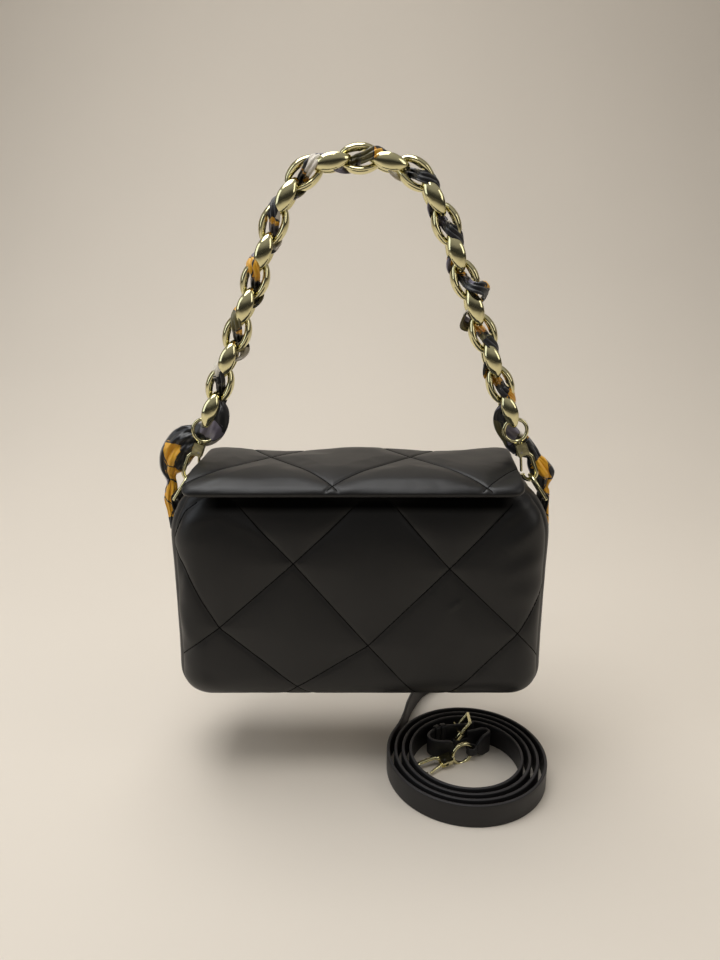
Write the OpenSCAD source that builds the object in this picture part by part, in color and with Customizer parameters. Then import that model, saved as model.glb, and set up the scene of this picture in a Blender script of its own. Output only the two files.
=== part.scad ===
// Quilted shoulder bag hung from its chain handle, with its long strap coiled below it.
// X runs to the right, Y away from the viewer, Z up; the origin is the middle of the top link.

/* [Chain] */
// Outer length of one link
link_len = 28.9; // [26:0.1:33]
// Outer width of one link, seen face on
link_w = 20; // [18:0.5:24]
// Thickness of the round wire at a link's ends
link_wire = 4.6; // [3.6:0.1:5]
// Width of a link's broad sides, seen face on
link_band = 5.6; // [5:0.1:6]
// Depth of a link's broad sides, front to back
link_deep = 11; // [9:0.5:13]
// Gap left between two hooked wires
wire_gap = 0.3; // [0.3:0.05:0.6]

/* [Swivel hooks] */
// Outer diameter of the ring on a hook
ring_od = 19.5; // [18:0.5:22]
// Wire of that ring
ring_wire = 2.7; // [2.2:0.1:3]
// Wire of the hook's claw
claw_wire = 3; // [2.4:0.1:3.4]
// Width between the claw's two sides, wire centre to wire centre
claw_w = 10.4; // [9.6:0.1:12]
// Length of the claw's opening below the swivel block
claw_len = 25; // [22:0.2:30]
// Radius of the swivel stem
stem_r = 1.5; // [1.2:0.05:1.7]
// Radius of the pin that the gate turns on
pin_r = 0.9; // [0.7:0.05:1.1]
// Running clearance round a stem or a pin
run_gap = 0.05; // [0.02:0.01:0.09]

/* [Bag] */
// Width of the body at its widest
bag_w = 270; // [240:1:300]
// Height of the body from base to rim
bag_h = 160; // [140:1:180]
// Depth of the body, front to back
bag_d = 93; // [84:1:110]
// Thickness of the quilted leather and its padding
wall = 6; // [4:0.5:8]
// Thickness of the cloth lining
lining_t = 1.2; // [0.8:0.1:2]
// Thickness of the stiffening board in the base
board_t = 2.5; // [1.5:0.5:4]
// Width of the flap along its front lip
flap_w = 238; // [228:1:242]
// Width of the flap along its back edge
flap_back_w = 226; // [216:1:230]
// Thickness of the padded flap
flap_t = 12.5; // [8:0.5:14]
// How far the flap's lip stands out in front of the body
lip_out = 7; // [2:0.5:8]

/* [D rings] */
// Outer width of a D ring
dee_w = 20; // [17:0.5:24]
// Wire of a D ring
dee_wire = 3; // [2.4:0.1:3.4]
// Height of a D ring, bar centre to the centre of its arch
dee_h = 19; // [17:0.5:24]
// Lean of a D ring from upright, inward at the top
dee_lean = 33; // [28:1:38]

/* [Scarf] */
// Length of cloth that shows through one link, along the chain
scarf_len = 8; // [6:0.5:8.4]
// How far the cloth bulges out of a link
scarf_out = 3; // [1:0.5:4]
// How far the scarf's hanging ends reach out from the rings
drape_reach = 26; // [20:1:28]
// Thickness of a hanging end
tail_t = 6; // [4:0.5:8]

/* [Long strap] */
// Width of the strap, which stands on its edge
strap_w = 18; // [14:1:22]
// Thickness of the strap
strap_t = 2.4; // [1.8:0.1:3]
// Radius of the coil, to the middle of its outermost turn
coil_r = 61.5; // [58:0.5:70]
// Distance from one turn to the next
turn_step = 5.8; // [5:0.1:6]
// Clear height between the bag's base and the strap's top edge
strap_drop = 48; // [40:1:80]
// Wire of the buckle's frame
buckle_wire = 2.6; // [2:0.1:3]
// Inner width of the buckle's frame
buckle_w = 10; // [8:0.5:14]
// Inner height of the buckle's frame, which leans
buckle_h = 26; // [24:0.5:30]

/* [Hidden] */
$fn = 96;
clear = 0.3;
cut = 1;

// Slope of each link below the horizontal, counted from the top link
link_slope = [0, 12, 36, 58, 68.8];
last_link = 11;
top_links = 2;
function slope(k) = link_slope[min(k, len(link_slope) - 1)];
function heading(k) = [cos(slope(k)), -sin(slope(k))];
function face_on(k) = k % 2 == 0;

// A link's outline is an oval of four arcs
link_end_share = 0.4;
link_end_r = link_w * link_end_share;
hole_end_r = link_end_r - link_wire - clear / 2;
hole_w = link_w - 2 * link_band;
function side_radius(length, width, end_r) =
    (pow(width / 2, 2) + pow(length / 2 - end_r, 2) - pow(end_r, 2)) / (width - 2 * end_r);
cheek_share = 0.52;
cheek_len = link_len * cheek_share;

// The chain is laid out through the middles of the wires that cross its face-on links
hooked = link_wire + wire_gap;
face_span = link_len - link_wire - 2 * hooked;
edge_span = link_len - link_wire;
function span(k) = face_on(k) ? face_span : edge_span;
function knot(k) = k == 0 ? [face_span / 2, 0] : knot(k - 1) + span(k) * heading(k);
function link_centre(k) = k == 0 ? [0, 0] : knot(k - 1) + span(k) / 2 * heading(k);

// Swivel ring, hook and D ring follow the last link in one line
ring_r = (ring_od - ring_wire) / 2;
hook_tilt = 90 - slope(last_link);
ring_centre = knot(last_link) + (ring_r - ring_wire / 2 - link_wire / 2 - wire_gap) * heading(last_link);
collar_r = stem_r + 0.6 * stem_r;
collar_len = ring_wire / 2 + clear;
block_top = ring_r + collar_len + clear;
block_w = claw_w - 2 * stem_r * 0.7;
block_d = 2 * (pin_r * 3.6);
neck_len = 2 * stem_r * 0.6;
head_r = stem_r * 1.6;
head_len = stem_r * 0.8;
cavity_len = head_len + 2 * clear;
gate_pin_drop = block_top + neck_len + cavity_len + pin_r * 3;
block_len = gate_pin_drop + pin_r * 3.4 - block_top;
claw_centre = block_top + block_len + claw_len - claw_w;
claw_low = claw_centre + claw_w / 2;
gate_t = pin_r * 2.6;
slot_w = gate_t + 2 * clear;
gate_r = gate_t * 0.42;
nose_up = claw_wire * 0.4;
gate_hub_r = pin_r * 2.4;
gate_root = [-pin_r * 1.4, -gate_pin_drop];
gate_tip = [-claw_w / 2, -claw_centre + nose_up + claw_wire / 2 + gate_r + clear];

function down_line(d) = ring_centre + d * heading(last_link);
claw_point = down_line(claw_low);
dee_top = down_line(claw_low - claw_wire / 2 - dee_wire / 2 - wire_gap);
dee_bar = dee_top + dee_h * [sin(dee_lean), -cos(dee_lean)];
dee_mean_r = (dee_w - dee_wire) / 2;

// The body hangs so that its rim is level with the claws
rim_z = claw_point[1] + clear * 3;
base_z = rim_z - bag_h;
shoulder_share = 0.22;
shoulder_z = rim_z - bag_h * shoulder_share;
front_shoulder_share = 0.17;
side_shoulder_share = 1.4;
low_corner_share = 0.13;
plan_corner_share = 0.24;
front_top_r = bag_w * front_shoulder_share;
side_top_r = bag_d * side_shoulder_share;
low_r = bag_h * low_corner_share;
plan_r = bag_d * plan_corner_share;
seam_y = bag_d / 2 - plan_r;
base_edge = bag_w / 2 - low_r;

// The flap lies on the rim and folds up along a line behind the middle of the lip
flap_low = rim_z + clear;
flap_top = flap_low + flap_t;
flap_back = bag_d / 2;
flap_lip = -bag_d / 2 - lip_out;
fold_share = 0.4;
flap_fold = flap_lip + (flap_back - flap_lip) * fold_share;
magnet_t = flap_t * 0.2;
magnet_w = wall * 0.6;
magnet_len = wall * 3;
magnet_out = flap_w * 0.25;

// Tabs hold the D rings on the body's ends
tab_t = dee_wire * 0.55;
tab_w = dee_w - 2 * dee_wire - 2 * clear;
tab_loop_r = dee_wire / 2 + tab_t + run_gap;
tab_face = bag_w / 2;
tab_low = dee_bar[1] - bag_h * 0.19;

// Strap on the table, standing on its edge
strap_low = base_z - strap_drop - strap_w;
strap_mid = strap_low + strap_w / 2;
coil_centre_share = [0.3078, -0.41];
coil_centre = [bag_w * coil_centre_share[0], bag_d * coil_centre_share[1]];
out_angle = 158;
in_angle = 75;
coil_sweep = in_angle - out_angle + 4 * 360;
arc_step = 9;
curve_steps = 4;
function unit(v) = v / norm(v);
function coil_point(turned) =
    coil_centre + (coil_r - turn_step * turned / 360) * [cos(out_angle + turned), sin(out_angle + turned)];

// Routes of the free stretches, from the coil's centre in shares of its radius
tail_shares = [[-0.82, 0.6], [-0.74, 0.84], [-0.67, 1.12], [-0.57, 1.38], [-0.4, 1.68], [-0.1, 1.92], [0.18, 2.02]];
tip_shares = [[0.11, 0.57], [-0.01, 0.555], [-0.12, 0.54], [-0.23, 0.52], [-0.34, 0.47], [-0.43, 0.39],
    [-0.46, 0.3], [-0.4, 0.22], [-0.28, 0.195], [-0.15, 0.21]];
short_shares = [[0.06, 0.412], [0.15, 0.43], [0.25, 0.465], [0.32, 0.45], [0.335, 0.39], [0.27, 0.33],
    [0.21, 0.275], [0.153, 0.237]];
function routed(shares) = [for (s = shares) coil_centre + coil_r * s];

// Smooth curve through a list of points, curve_steps pieces from each point to the next
function between(a, b, c, d, t) =
    b + (c - a) * t / 2 + (2 * a - 5 * b + 4 * c - d) * t * t / 2 + (3 * b - a - 3 * c + d) * t * t * t / 2;
function curve(p) = [for (i = [0:len(p) - 2], s = [0:curve_steps - 1])
    between(p[max(i - 1, 0)], p[i], p[i + 1], p[min(i + 2, len(p) - 1)], s / curve_steps), p[len(p) - 1]];
function across(p, i) = let (d = unit(p[min(i + 1, len(p) - 1)] - p[max(i - 1, 0)])) [-d[1], d[0]];
function band(p, thick) = concat([for (i = [0:len(p) - 1]) p[i] + across(p, i) * thick / 2],
    [for (i = [len(p) - 1:-1:0]) p[i] - across(p, i) * thick / 2]);
coil_path = [for (turned = [0:arc_step:coil_sweep]) coil_point(turned)];
tail_path = curve([each routed([for (i = [len(tail_shares) - 1:-1:0]) tail_shares[i]]), coil_path[0]]);
tip_path = curve([coil_path[len(coil_path) - 1], each routed(tip_shares)]);
function rest(p) = [for (i = [1:len(p) - 1]) p[i]];
strap_path = concat(tail_path, rest(coil_path), rest(tip_path));
short_path = curve(routed(short_shares));

// Hooks at the strap's two ends lie on the table
strap_hook_dip = 7;
strap_hook_roll = -70;
end_loop_h = strap_w * 0.36;
end_loop_bore = ring_wire;
end_loop_r = end_loop_bore + strap_t * 0.7;
web_t = strap_t * 0.75;
near_end = short_path[len(short_path) - 1];
far_end = strap_path[0];
near_angle = 202;
far_angle = 10;
function flat(angle) = [cos(angle), sin(angle)];
near_loop = near_end + flat(near_angle) * end_loop_r;
far_loop = far_end + flat(far_angle) * end_loop_r;
function ring_place(loop, angle) = [each (loop + flat(angle) * ring_r * cos(strap_hook_dip)),
    strap_mid - ring_r * sin(strap_hook_dip)];

// Buckle: a wire frame that stands across the strap's run and leans; the tip runs through it, raised
// off the table, and the short strap's eye goes round the frame's near bar
buckle_lean = 34;
buckle_side = buckle_w / 2 + buckle_wire / 2;
buckle_end = buckle_h / 2 + buckle_wire / 2;
buckle_share = [-0.045, 0.513];
buckle_at = [each (coil_centre + coil_r * buckle_share), strap_low + buckle_wire / 2 + buckle_end * cos(buckle_lean)];
tip_lift = buckle_wire + clear;
prong_r = buckle_wire * 0.35;
prong_hub_r = buckle_wire / 2 + prong_r * 1.6;
prong_off = buckle_wire / 2 + prong_r + clear;
prong_angle = atan2(prong_off, 2 * buckle_side);
prong_swing = 5;
prong_hole_share = 0.7;
prong_hole_r = prong_r + clear + 2 * buckle_side * prong_hole_share * sin(prong_swing);
eye_len = strap_w * 0.4;
eye_drop = buckle_h * 0.31;
eye_r = buckle_wire / 2 + run_gap + strap_t / 2;
keeper_t = strap_t * 0.55;
keeper_len = strap_w * 0.25;
keeper_shares = [0.425, 0.5];

// Outline of a link and of its hole, as an oval of four arcs
module oval(length, width, end_r) {
    side_r = side_radius(length, width, end_r);
    straight = length / 2 - end_r;
    meet = straight * side_r / (side_r - end_r);
    intersection() {
        translate([side_r - width / 2, 0]) circle(side_r);
        translate([width / 2 - side_r, 0]) circle(side_r);
        square([2 * width, 2 * meet], center = true);
    }
    for (end = [-1, 1]) translate([0, end * straight]) circle(end_r);
}

// Round wire at a link's two ends, each a half ring; the link lies in the XZ plane
module link_ends() {
    rotate([90, 0, 0]) for (turn = [0, 180]) rotate([0, 0, turn]) translate([0, link_len / 2 - link_end_r])
        rotate_extrude(angle = 180) translate([link_end_r - link_wire / 2, 0]) circle(link_wire / 2);
}

// Broad sides of a link, wider than the wire and deepest half way along
module link_cheeks() {
    lens_r = (pow(link_len / 2, 2) + pow(link_deep / 2, 2)) / link_deep;
    intersection() {
        rotate([90, 0, 0]) linear_extrude(link_deep, center = true) difference() {
            oval(link_len, link_w, link_end_r);
            oval(link_len - 2 * link_wire - clear, hole_w, hole_end_r);
        }
        rotate([0, 90, 0]) linear_extrude(2 * link_w, center = true) intersection() {
            translate([0, lens_r - link_deep / 2]) circle(lens_r);
            translate([0, link_deep / 2 - lens_r]) circle(lens_r);
        }
        cube([2 * link_w, link_deep, cheek_len], center = true);
    }
}

module chain_link() {
    link_ends();
    link_cheeks();
}

// Puts a shape at link k of the right-hand run, with its length along the chain
module at_link(k) {
    c = link_centre(k);
    translate([c[0], 0, c[1]]) rotate([0, 90 + slope(k), 0]) rotate([0, 0, face_on(k) ? 0 : 90]) children();
}

// Draws a shape on the right and, mirrored, on the left
module both_sides() {
    children();
    mirror([1, 0, 0]) children();
}

module hung_links() {
    color("khaki") {
        at_link(0) chain_link();
        both_sides() for (k = [1:top_links]) at_link(k) chain_link();
    }
}

module chain_row(n) {
    color("khaki") both_sides() at_link(n + top_links) chain_link();
}

// Cloth that fills one link's hole and bulges out of it at the front and the back
module scarf_fill() {
    hole_side_r = side_radius(link_len - 2 * link_wire - clear, hole_w, hole_end_r);
    narrow = hole_w / 2 - hole_side_r + sqrt(pow(hole_side_r, 2) - pow(scarf_len / 2, 2));
    cube([2 * (narrow - clear), link_deep + 2 * scarf_out, scarf_len], center = true);
}

module scarf_top() {
    color("dimgray") {
        at_link(0) scarf_fill();
        both_sides() for (k = [1:top_links]) at_link(k) scarf_fill();
    }
}

module scarf_row(n) {
    color("dimgray") both_sides() at_link(n + top_links) scarf_fill();
}

// Puts a shape made about a swivel ring's centre, hook downwards, in line with the right-hand run
module at_hook() {
    translate([ring_centre[0], 0, ring_centre[1]]) rotate([0, -hook_tilt, 0]) children();
}

// Ring with its collar and the headed stem that the hook turns on
module swivel_ring() {
    rotate([90, 0, 0]) rotate_extrude() translate([ring_r, 0]) circle(ring_wire / 2);
    translate([0, 0, -ring_r - collar_len]) cylinder(h = collar_len, r = collar_r);
    translate([0, 0, -block_top - neck_len - clear - cut / 2]) cylinder(h = neck_len + 2 * clear + cut, r = stem_r);
    translate([0, 0, -block_top - neck_len - clear - head_len]) cylinder(h = head_len, r = head_r);
}

// Round bar between two points of the XZ plane, with a round far end
module bar(from, to, r) {
    reach = to - from;
    translate([from[0], 0, from[1]]) rotate([0, atan2(reach[0], reach[1]), 0]) cylinder(h = norm(reach), r = r);
    translate([to[0], 0, to[1]]) sphere(r);
}

// Swivel block and open claw, with the bore for the stem, its hollow and the slot for the gate
module hook_body() {
    arm_top = [block_w / 2 - claw_wire / 2, -block_top - block_len + claw_wire / 2];
    arm_bend = [claw_w / 2, -block_top - block_len - claw_wire];
    difference() {
        union() {
            intersection() {
                translate([-block_w / 2, -block_d / 2, -block_top - block_len])
                    cube([block_w, block_d, block_len]);
                translate([0, 0, -block_top - block_len]) cylinder(h = block_len, r = norm([block_w, block_d]) / 2.2);
            }
            bar(arm_bend, arm_top, claw_wire / 2);
            bar([claw_w / 2, -claw_centre], arm_bend, claw_wire / 2);
            translate([0, 0, -claw_centre]) rotate([90, 0, 0]) rotate([0, 0, 180])
                rotate_extrude(angle = 180) translate([claw_w / 2, 0]) circle(claw_wire / 2);
            translate([-claw_w / 2, 0, -claw_centre]) cylinder(h = nose_up, r = claw_wire / 2);
        }
        translate([0, 0, -block_top - neck_len - cut]) cylinder(h = neck_len + 2 * cut, r = stem_r + run_gap);
        translate([0, 0, -block_top - neck_len - cavity_len]) cylinder(h = cavity_len, r = head_r + clear);
        translate([-block_w / 2 - cut, -slot_w / 2, -block_top - block_len - cut])
            cube([block_w / 2 + cut + pin_r, slot_w, block_top + block_len + cut - gate_pin_drop + gate_hub_r + clear]);
        translate([gate_root[0], 0, gate_root[1]]) rotate([90, 0, 0]) {
            cylinder(h = slot_w, r = gate_hub_r + clear, center = true);
            cylinder(h = block_d + 2 * cut, r = pin_r, center = true);
        }
    }
}

// Gate bar with a hub bored for its pin
module gate_bar() {
    difference() {
        union() {
            translate([gate_root[0], 0, gate_root[1]]) rotate([90, 0, 0]) cylinder(h = gate_t, r = gate_hub_r, center = true);
            bar(gate_root, gate_tip, gate_r);
        }
        translate([gate_root[0], 0, gate_root[1]]) rotate([90, 0, 0])
            cylinder(h = gate_t + 2 * cut, r = pin_r + run_gap, center = true);
    }
}

module gate_pin() {
    translate([gate_root[0], 0, gate_root[1]]) rotate([90, 0, 0]) cylinder(h = block_d, r = pin_r, center = true);
}

module swivel_rings() {
    color("khaki") both_sides() at_hook() swivel_ring();
}

module right_hook() {
    color("khaki") at_hook() hook_body();
}

module left_hook() {
    mirror([1, 0, 0]) right_hook();
}

module right_gate() {
    color("khaki") at_hook() gate_bar();
}

module left_gate() {
    mirror([1, 0, 0]) right_gate();
}

module right_gate_pin() {
    color("silver") at_hook() gate_pin();
}

module left_gate_pin() {
    mirror([1, 0, 0]) right_gate_pin();
}

// D ring: a straight bar along Y, two legs and a round arch that hangs in the claw
module right_d_ring() {
    leg = dee_h - dee_mean_r;
    color("khaki") translate([dee_bar[0], 0, dee_bar[1]]) rotate([0, -dee_lean, 0]) {
        rotate([90, 0, 0]) cylinder(h = 2 * dee_mean_r, r = dee_wire / 2, center = true);
        for (end = [-1, 1]) translate([0, end * dee_mean_r, 0]) {
            sphere(dee_wire / 2);
            cylinder(h = leg, r = dee_wire / 2);
        }
        translate([0, 0, leg]) rotate([90, 0, 90]) rotate_extrude(angle = 180)
            translate([dee_mean_r, 0]) circle(dee_wire / 2);
    }
}

module left_d_ring() {
    mirror([1, 0, 0]) right_d_ring();
}

// Leather tab: a loop round the D ring's bar and a plate that lies on the body's end
module right_ring_tab() {
    color("black") difference() {
        union() {
            translate([dee_bar[0], 0, dee_bar[1]]) rotate([90, 0, 0]) cylinder(h = tab_w, r = tab_loop_r, center = true);
            translate([tab_face, -tab_w / 2, tab_low]) cube([dee_bar[0] - tab_face, tab_w, dee_bar[1] - tab_low]);
        }
        translate([dee_bar[0], 0, dee_bar[1]]) rotate([90, 0, 0])
            cylinder(h = tab_w + 2 * cut, r = dee_wire / 2 + run_gap, center = true);
    }
}

module left_ring_tab() {
    mirror([1, 0, 0]) right_ring_tab();
}

// Body outline seen along one axis: round lower corners and a top that draws in
module body_outline(width, low, low_corner, top_corner, top) {
    half = width / 2;
    translate([-half, low + low_corner]) square([width, shoulder_z - low - low_corner]);
    translate([-half + low_corner, low]) square([width - 2 * low_corner, low_corner]);
    for (side = [-1, 1]) translate([side * (half - low_corner), low + low_corner]) circle(low_corner);
    intersection() {
        translate([-half, shoulder_z]) square([width, top - shoulder_z]);
        union() {
            for (side = [-1, 1]) intersection() {
                translate([side * (half - top_corner), shoulder_z]) circle(top_corner);
                translate([side > 0 ? 0 : -half, shoulder_z]) square([half, top - shoulder_z]);
            }
            if (half > top_corner) translate([top_corner - half, shoulder_z])
                square([width - 2 * top_corner, top - shoulder_z]);
        }
    }
}

// Solid form of the body, drawn in by inset on its sides and by lift at its base
module body_form(inset, lift, top) {
    intersection() {
        rotate([90, 0, 0]) linear_extrude(2 * bag_d, center = true)
            body_outline(bag_w - 2 * inset, base_z + lift, low_r - inset, front_top_r - inset, top);
        rotate([90, 0, 90]) linear_extrude(2 * bag_w, center = true)
            body_outline(bag_d - 2 * inset, base_z + lift, low_r - inset, side_top_r - inset, top);
        translate([0, 0, base_z]) linear_extrude(2 * bag_h) union() {
            square([bag_w - 2 * inset, bag_d - 2 * plan_r], center = true);
            square([bag_w - 2 * plan_r, bag_d - 2 * inset], center = true);
            for (x = [-1, 1], y = [-1, 1])
                translate([x * (bag_w / 2 - plan_r), y * (bag_d / 2 - plan_r)]) circle(plan_r - inset);
        }
    }
}

module body_shell() {
    difference() {
        body_form(0, 0, rim_z);
        body_form(wall, wall, rim_z + cut);
    }
}

// Box that keeps the part of the body between two depths
module slab(from_y, to_y, from_x, to_x, height = bag_h + cut) {
    translate([from_x, from_y, base_z - cut]) cube([to_x - from_x, to_y - from_y, height + cut]);
}

module magnet_bars(y, z) {
    for (side = [-1, 1]) translate([side * magnet_out - magnet_len / 2, y - magnet_w / 2, z])
        cube([magnet_len, magnet_w, magnet_t]);
}

rim_magnet_y = -bag_d / 2 + wall * 1.25;
rim_magnet_z = rim_z - wall;

module front_panel() {
    color("black") difference() {
        intersection() {
            body_shell();
            slab(-bag_d, -seam_y, -bag_w, bag_w);
        }
        magnet_bars(rim_magnet_y, rim_magnet_z);
    }
}

module back_panel() {
    color("black") intersection() {
        body_shell();
        slab(seam_y, bag_d, -bag_w, bag_w);
    }
}

module right_gusset() {
    color("black") difference() {
        intersection() {
            body_shell();
            slab(-seam_y, seam_y, base_edge - low_r, bag_w);
        }
        slab(-bag_d, bag_d, -base_edge, base_edge, low_r);
    }
}

module left_gusset() {
    mirror([1, 0, 0]) right_gusset();
}

module base_panel() {
    color("black") intersection() {
        body_shell();
        slab(-seam_y, seam_y, -base_edge, base_edge, low_r);
    }
}

module base_board() {
    color("tan") translate([-base_edge, -bag_d / 2 + low_r, base_z + wall])
        cube([2 * base_edge, bag_d - 2 * low_r, board_t]);
}

module lining() {
    gap = wall + clear;
    lift = wall + board_t + clear;
    color("dimgray") difference() {
        body_form(gap, lift, rim_z);
        body_form(gap + lining_t, lift + lining_t, rim_z + cut);
    }
}

module rim_magnets() {
    color("silver") magnet_bars(rim_magnet_y, rim_magnet_z);
}

// Flap outline seen from above, wider at its lip than at its back edge
module flap_plan() {
    polygon([[-flap_w / 2, flap_lip], [flap_w / 2, flap_lip], [flap_back_w / 2, flap_back], [-flap_back_w / 2, flap_back]]);
}

// Padded flap between two depths, its front lip, back edge and ends rounded
module flap_part(from_y, to_y) {
    edge = flap_t / 2;
    intersection() {
        translate([0, 0, flap_low]) linear_extrude(flap_t) flap_plan();
        translate([0, 0, flap_low + edge]) rotate([90, 0, 90]) linear_extrude(2 * flap_w, center = true) {
            translate([flap_lip + edge, -edge]) square([flap_back - flap_lip - 2 * edge, flap_t]);
            translate([flap_lip + edge, 0]) circle(edge);
            translate([flap_back - edge, 0]) circle(edge);
        }
        translate([-flap_w, from_y, flap_low - cut]) cube([2 * flap_w, to_y - from_y, flap_t + 2 * cut]);
    }
}

flap_skin = flap_t - lining_t;
module outer_flap(from_y, to_y) {
    intersection() {
        flap_part(from_y, to_y);
        translate([-flap_w, from_y, flap_low + lining_t]) cube([2 * flap_w, to_y - from_y, flap_skin]);
    }
}

module flap_under(from_y, to_y) {
    intersection() {
        flap_part(from_y, to_y);
        translate([-flap_w, from_y, flap_low - cut]) cube([2 * flap_w, to_y - from_y, lining_t + cut]);
    }
}

flap_magnet_z = flap_low + lining_t * 2;

module flap_rear() {
    color("black") outer_flap(flap_fold, bag_d);
}

module flap_rear_lining() {
    color("dimgray") flap_under(flap_fold, bag_d);
}

module flap_front() {
    color("black") difference() {
        outer_flap(-bag_d, flap_fold - clear);
        magnet_bars(rim_magnet_y, flap_magnet_z);
    }
}

module flap_front_lining() {
    color("dimgray") flap_under(-bag_d, flap_fold - clear);
}

module flap_magnets() {
    color("silver") magnet_bars(rim_magnet_y, flap_magnet_z);
}

// Puts a shape made about a swivel ring's centre at one of the strap's two ends
module at_strap_end(place, angle) {
    translate(place) rotate([0, 0, angle]) rotate([0, strap_hook_dip - 90, 0]) children();
}

module at_near_end() {
    at_strap_end(ring_place(near_loop, near_angle), near_angle) children();
}

module at_far_end() {
    at_strap_end(ring_place(far_loop, far_angle), far_angle) children();
}

// Upright leather eye that a ring's wire runs through, with a web back to the strap's end
module end_eye(loop, from) {
    reach = loop - from;
    difference() {
        union() {
            translate([loop[0], loop[1], strap_mid]) cylinder(h = end_loop_h, r = end_loop_r, center = true);
            translate([from[0], from[1], strap_mid]) rotate([0, 0, atan2(reach[1], reach[0])])
                translate([-web_t, -web_t / 2, -end_loop_h * 0.45]) cube([norm(reach) + web_t, web_t, end_loop_h * 0.9]);
        }
        translate([loop[0], loop[1], strap_mid]) cylinder(h = end_loop_h + 2 * cut, r = end_loop_bore, center = true);
    }
}

module long_strap() {
    color("black") difference() {
        union() {
            translate([0, 0, strap_low]) linear_extrude(strap_w) polygon(band(strap_path, strap_t));
            end_eye(far_loop, far_end);
        }
        translate([0, 0, strap_low - cut]) linear_extrude(tip_lift + cut) polygon(band(rest(rest(tip_path)), 2 * strap_t));
        at_buckle() translate([-prong_off * prong_hole_share, 0, 0]) rotate([90, 0, 0])
            cylinder(h = 2 * buckle_side, r = prong_hole_r, center = true);
    }
}

// Puts a shape in the buckle's own frame, Y across the strap and Z up the lean
module at_buckle() {
    translate(buckle_at) rotate([0, buckle_lean, 0]) children();
}

module buckle_frame() {
    color("khaki") at_buckle() for (side = [-1, 1]) {
        translate([0, side * buckle_side, 0]) {
            cylinder(h = 2 * buckle_end, r = buckle_wire / 2, center = true);
            for (end = [-1, 1]) translate([0, 0, end * buckle_end]) sphere(buckle_wire / 2);
        }
        translate([0, 0, side * buckle_end]) rotate([90, 0, 0])
            cylinder(h = 2 * buckle_side, r = buckle_wire / 2, center = true);
    }
}

// Prong with a hub that turns on the frame's near bar; its tip rests behind the far bar
module buckle_prong() {
    color("khaki") at_buckle() translate([0, -buckle_side, 0]) difference() {
        union() {
            cylinder(h = 2 * prong_hub_r, r = prong_hub_r, center = true);
            rotate([0, 0, prong_angle]) rotate([-90, 0, 0]) cylinder(h = 2 * buckle_side + buckle_wire, r = prong_r);
        }
        cylinder(h = 2 * prong_hub_r + 2 * cut, r = buckle_wire / 2 + run_gap, center = true);
    }
}

// Short strap: an eye round the buckle's near bar, a band and the eye for the near hook's ring
module short_strap() {
    start = short_path[0];
    hold_z = buckle_at[2] - eye_drop * cos(buckle_lean);
    hold_x = buckle_at[0] - eye_drop * sin(buckle_lean);
    color("black") difference() {
        union() {
            translate([0, 0, strap_low]) linear_extrude(strap_w) polygon(band(short_path, strap_t));
            end_eye(near_loop, near_end);
            at_buckle() translate([0, -buckle_side, -eye_drop]) cylinder(h = eye_len, r = eye_r, center = true);
            translate([hold_x, start[1] - web_t / 2, hold_z - eye_len / 3])
                cube([start[0] - hold_x + web_t, web_t, eye_len * 2 / 3]);
        }
        at_buckle() translate([0, -buckle_side, 0])
            cylinder(h = 2 * buckle_end, r = buckle_wire / 2 + run_gap, center = true);
    }
}

module strap_keepers() {
    high = strap_w - tip_lift;
    color("black") for (s = keeper_shares) {
        i = round((len(tip_path) - 1) * s);
        p = tip_path[i];
        side = across(tip_path, i);
        translate([p[0], p[1], strap_mid + tip_lift / 2]) rotate([0, 0, atan2(side[1], side[0])]) difference() {
            cube([strap_t + 2 * (clear + keeper_t), keeper_len, high + 2 * (clear + keeper_t)], center = true);
            cube([strap_t + 2 * clear, keeper_len + 2 * cut, high + 2 * clear], center = true);
        }
    }
}

module strap_rings() {
    color("khaki") {
        at_near_end() swivel_ring();
        at_far_end() swivel_ring();
    }
}

module near_strap_hook() {
    color("khaki") at_near_end() rotate([0, 0, strap_hook_roll]) hook_body();
}

module near_strap_gate() {
    color("khaki") at_near_end() rotate([0, 0, strap_hook_roll]) gate_bar();
}

module near_strap_gate_pin() {
    color("silver") at_near_end() rotate([0, 0, strap_hook_roll]) gate_pin();
}

module far_strap_hook() {
    color("khaki") at_far_end() rotate([0, 0, strap_hook_roll]) hook_body();
}

module far_strap_gate() {
    color("khaki") at_far_end() rotate([0, 0, strap_hook_roll]) gate_bar();
}

module far_strap_gate_pin() {
    color("silver") at_far_end() rotate([0, 0, strap_hook_roll]) gate_pin();
}

// The scarf's two hanging ends: a turn made fast behind the ring and a drape outside the hook,
// from the ring's centre in shares of the drape's reach
ribbon_shares = [[-0.54, 0.08], [-0.27, 0.11], [-0.2, -0.12], [-0.3, -0.3], [-0.52, -0.22]];
drape_shares = [[-0.54, 0.08], [-0.27, 0.11], [-0.15, -0.19], [0.15, -0.23], [0.27, 0.23], [0.46, 0.23],
    [0.81, -0.08], [1, -0.38], [1.03, -0.77], [0.85, -1.15], [0.65, -1.19], [0.58, -0.85], [0.23, -0.54],
    [-0.15, -0.5], [-0.5, -0.31]];
module scarf_tails() {
    behind_ring = ring_wire / 2 + clear;
    behind_block = norm([block_w, block_d]) / 2.2 + clear;
    color("dimgray") both_sides() translate([ring_centre[0], 0, ring_centre[1]]) {
        translate([0, behind_block + tail_t, 0]) rotate([90, 0, 0]) linear_extrude(tail_t) polygon(drape_shares * drape_reach);
        translate([0, behind_block + tail_t, 0]) rotate([90, 0, 0])
            linear_extrude(behind_block + tail_t - behind_ring) polygon(ribbon_shares * drape_reach);
    }
}

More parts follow.
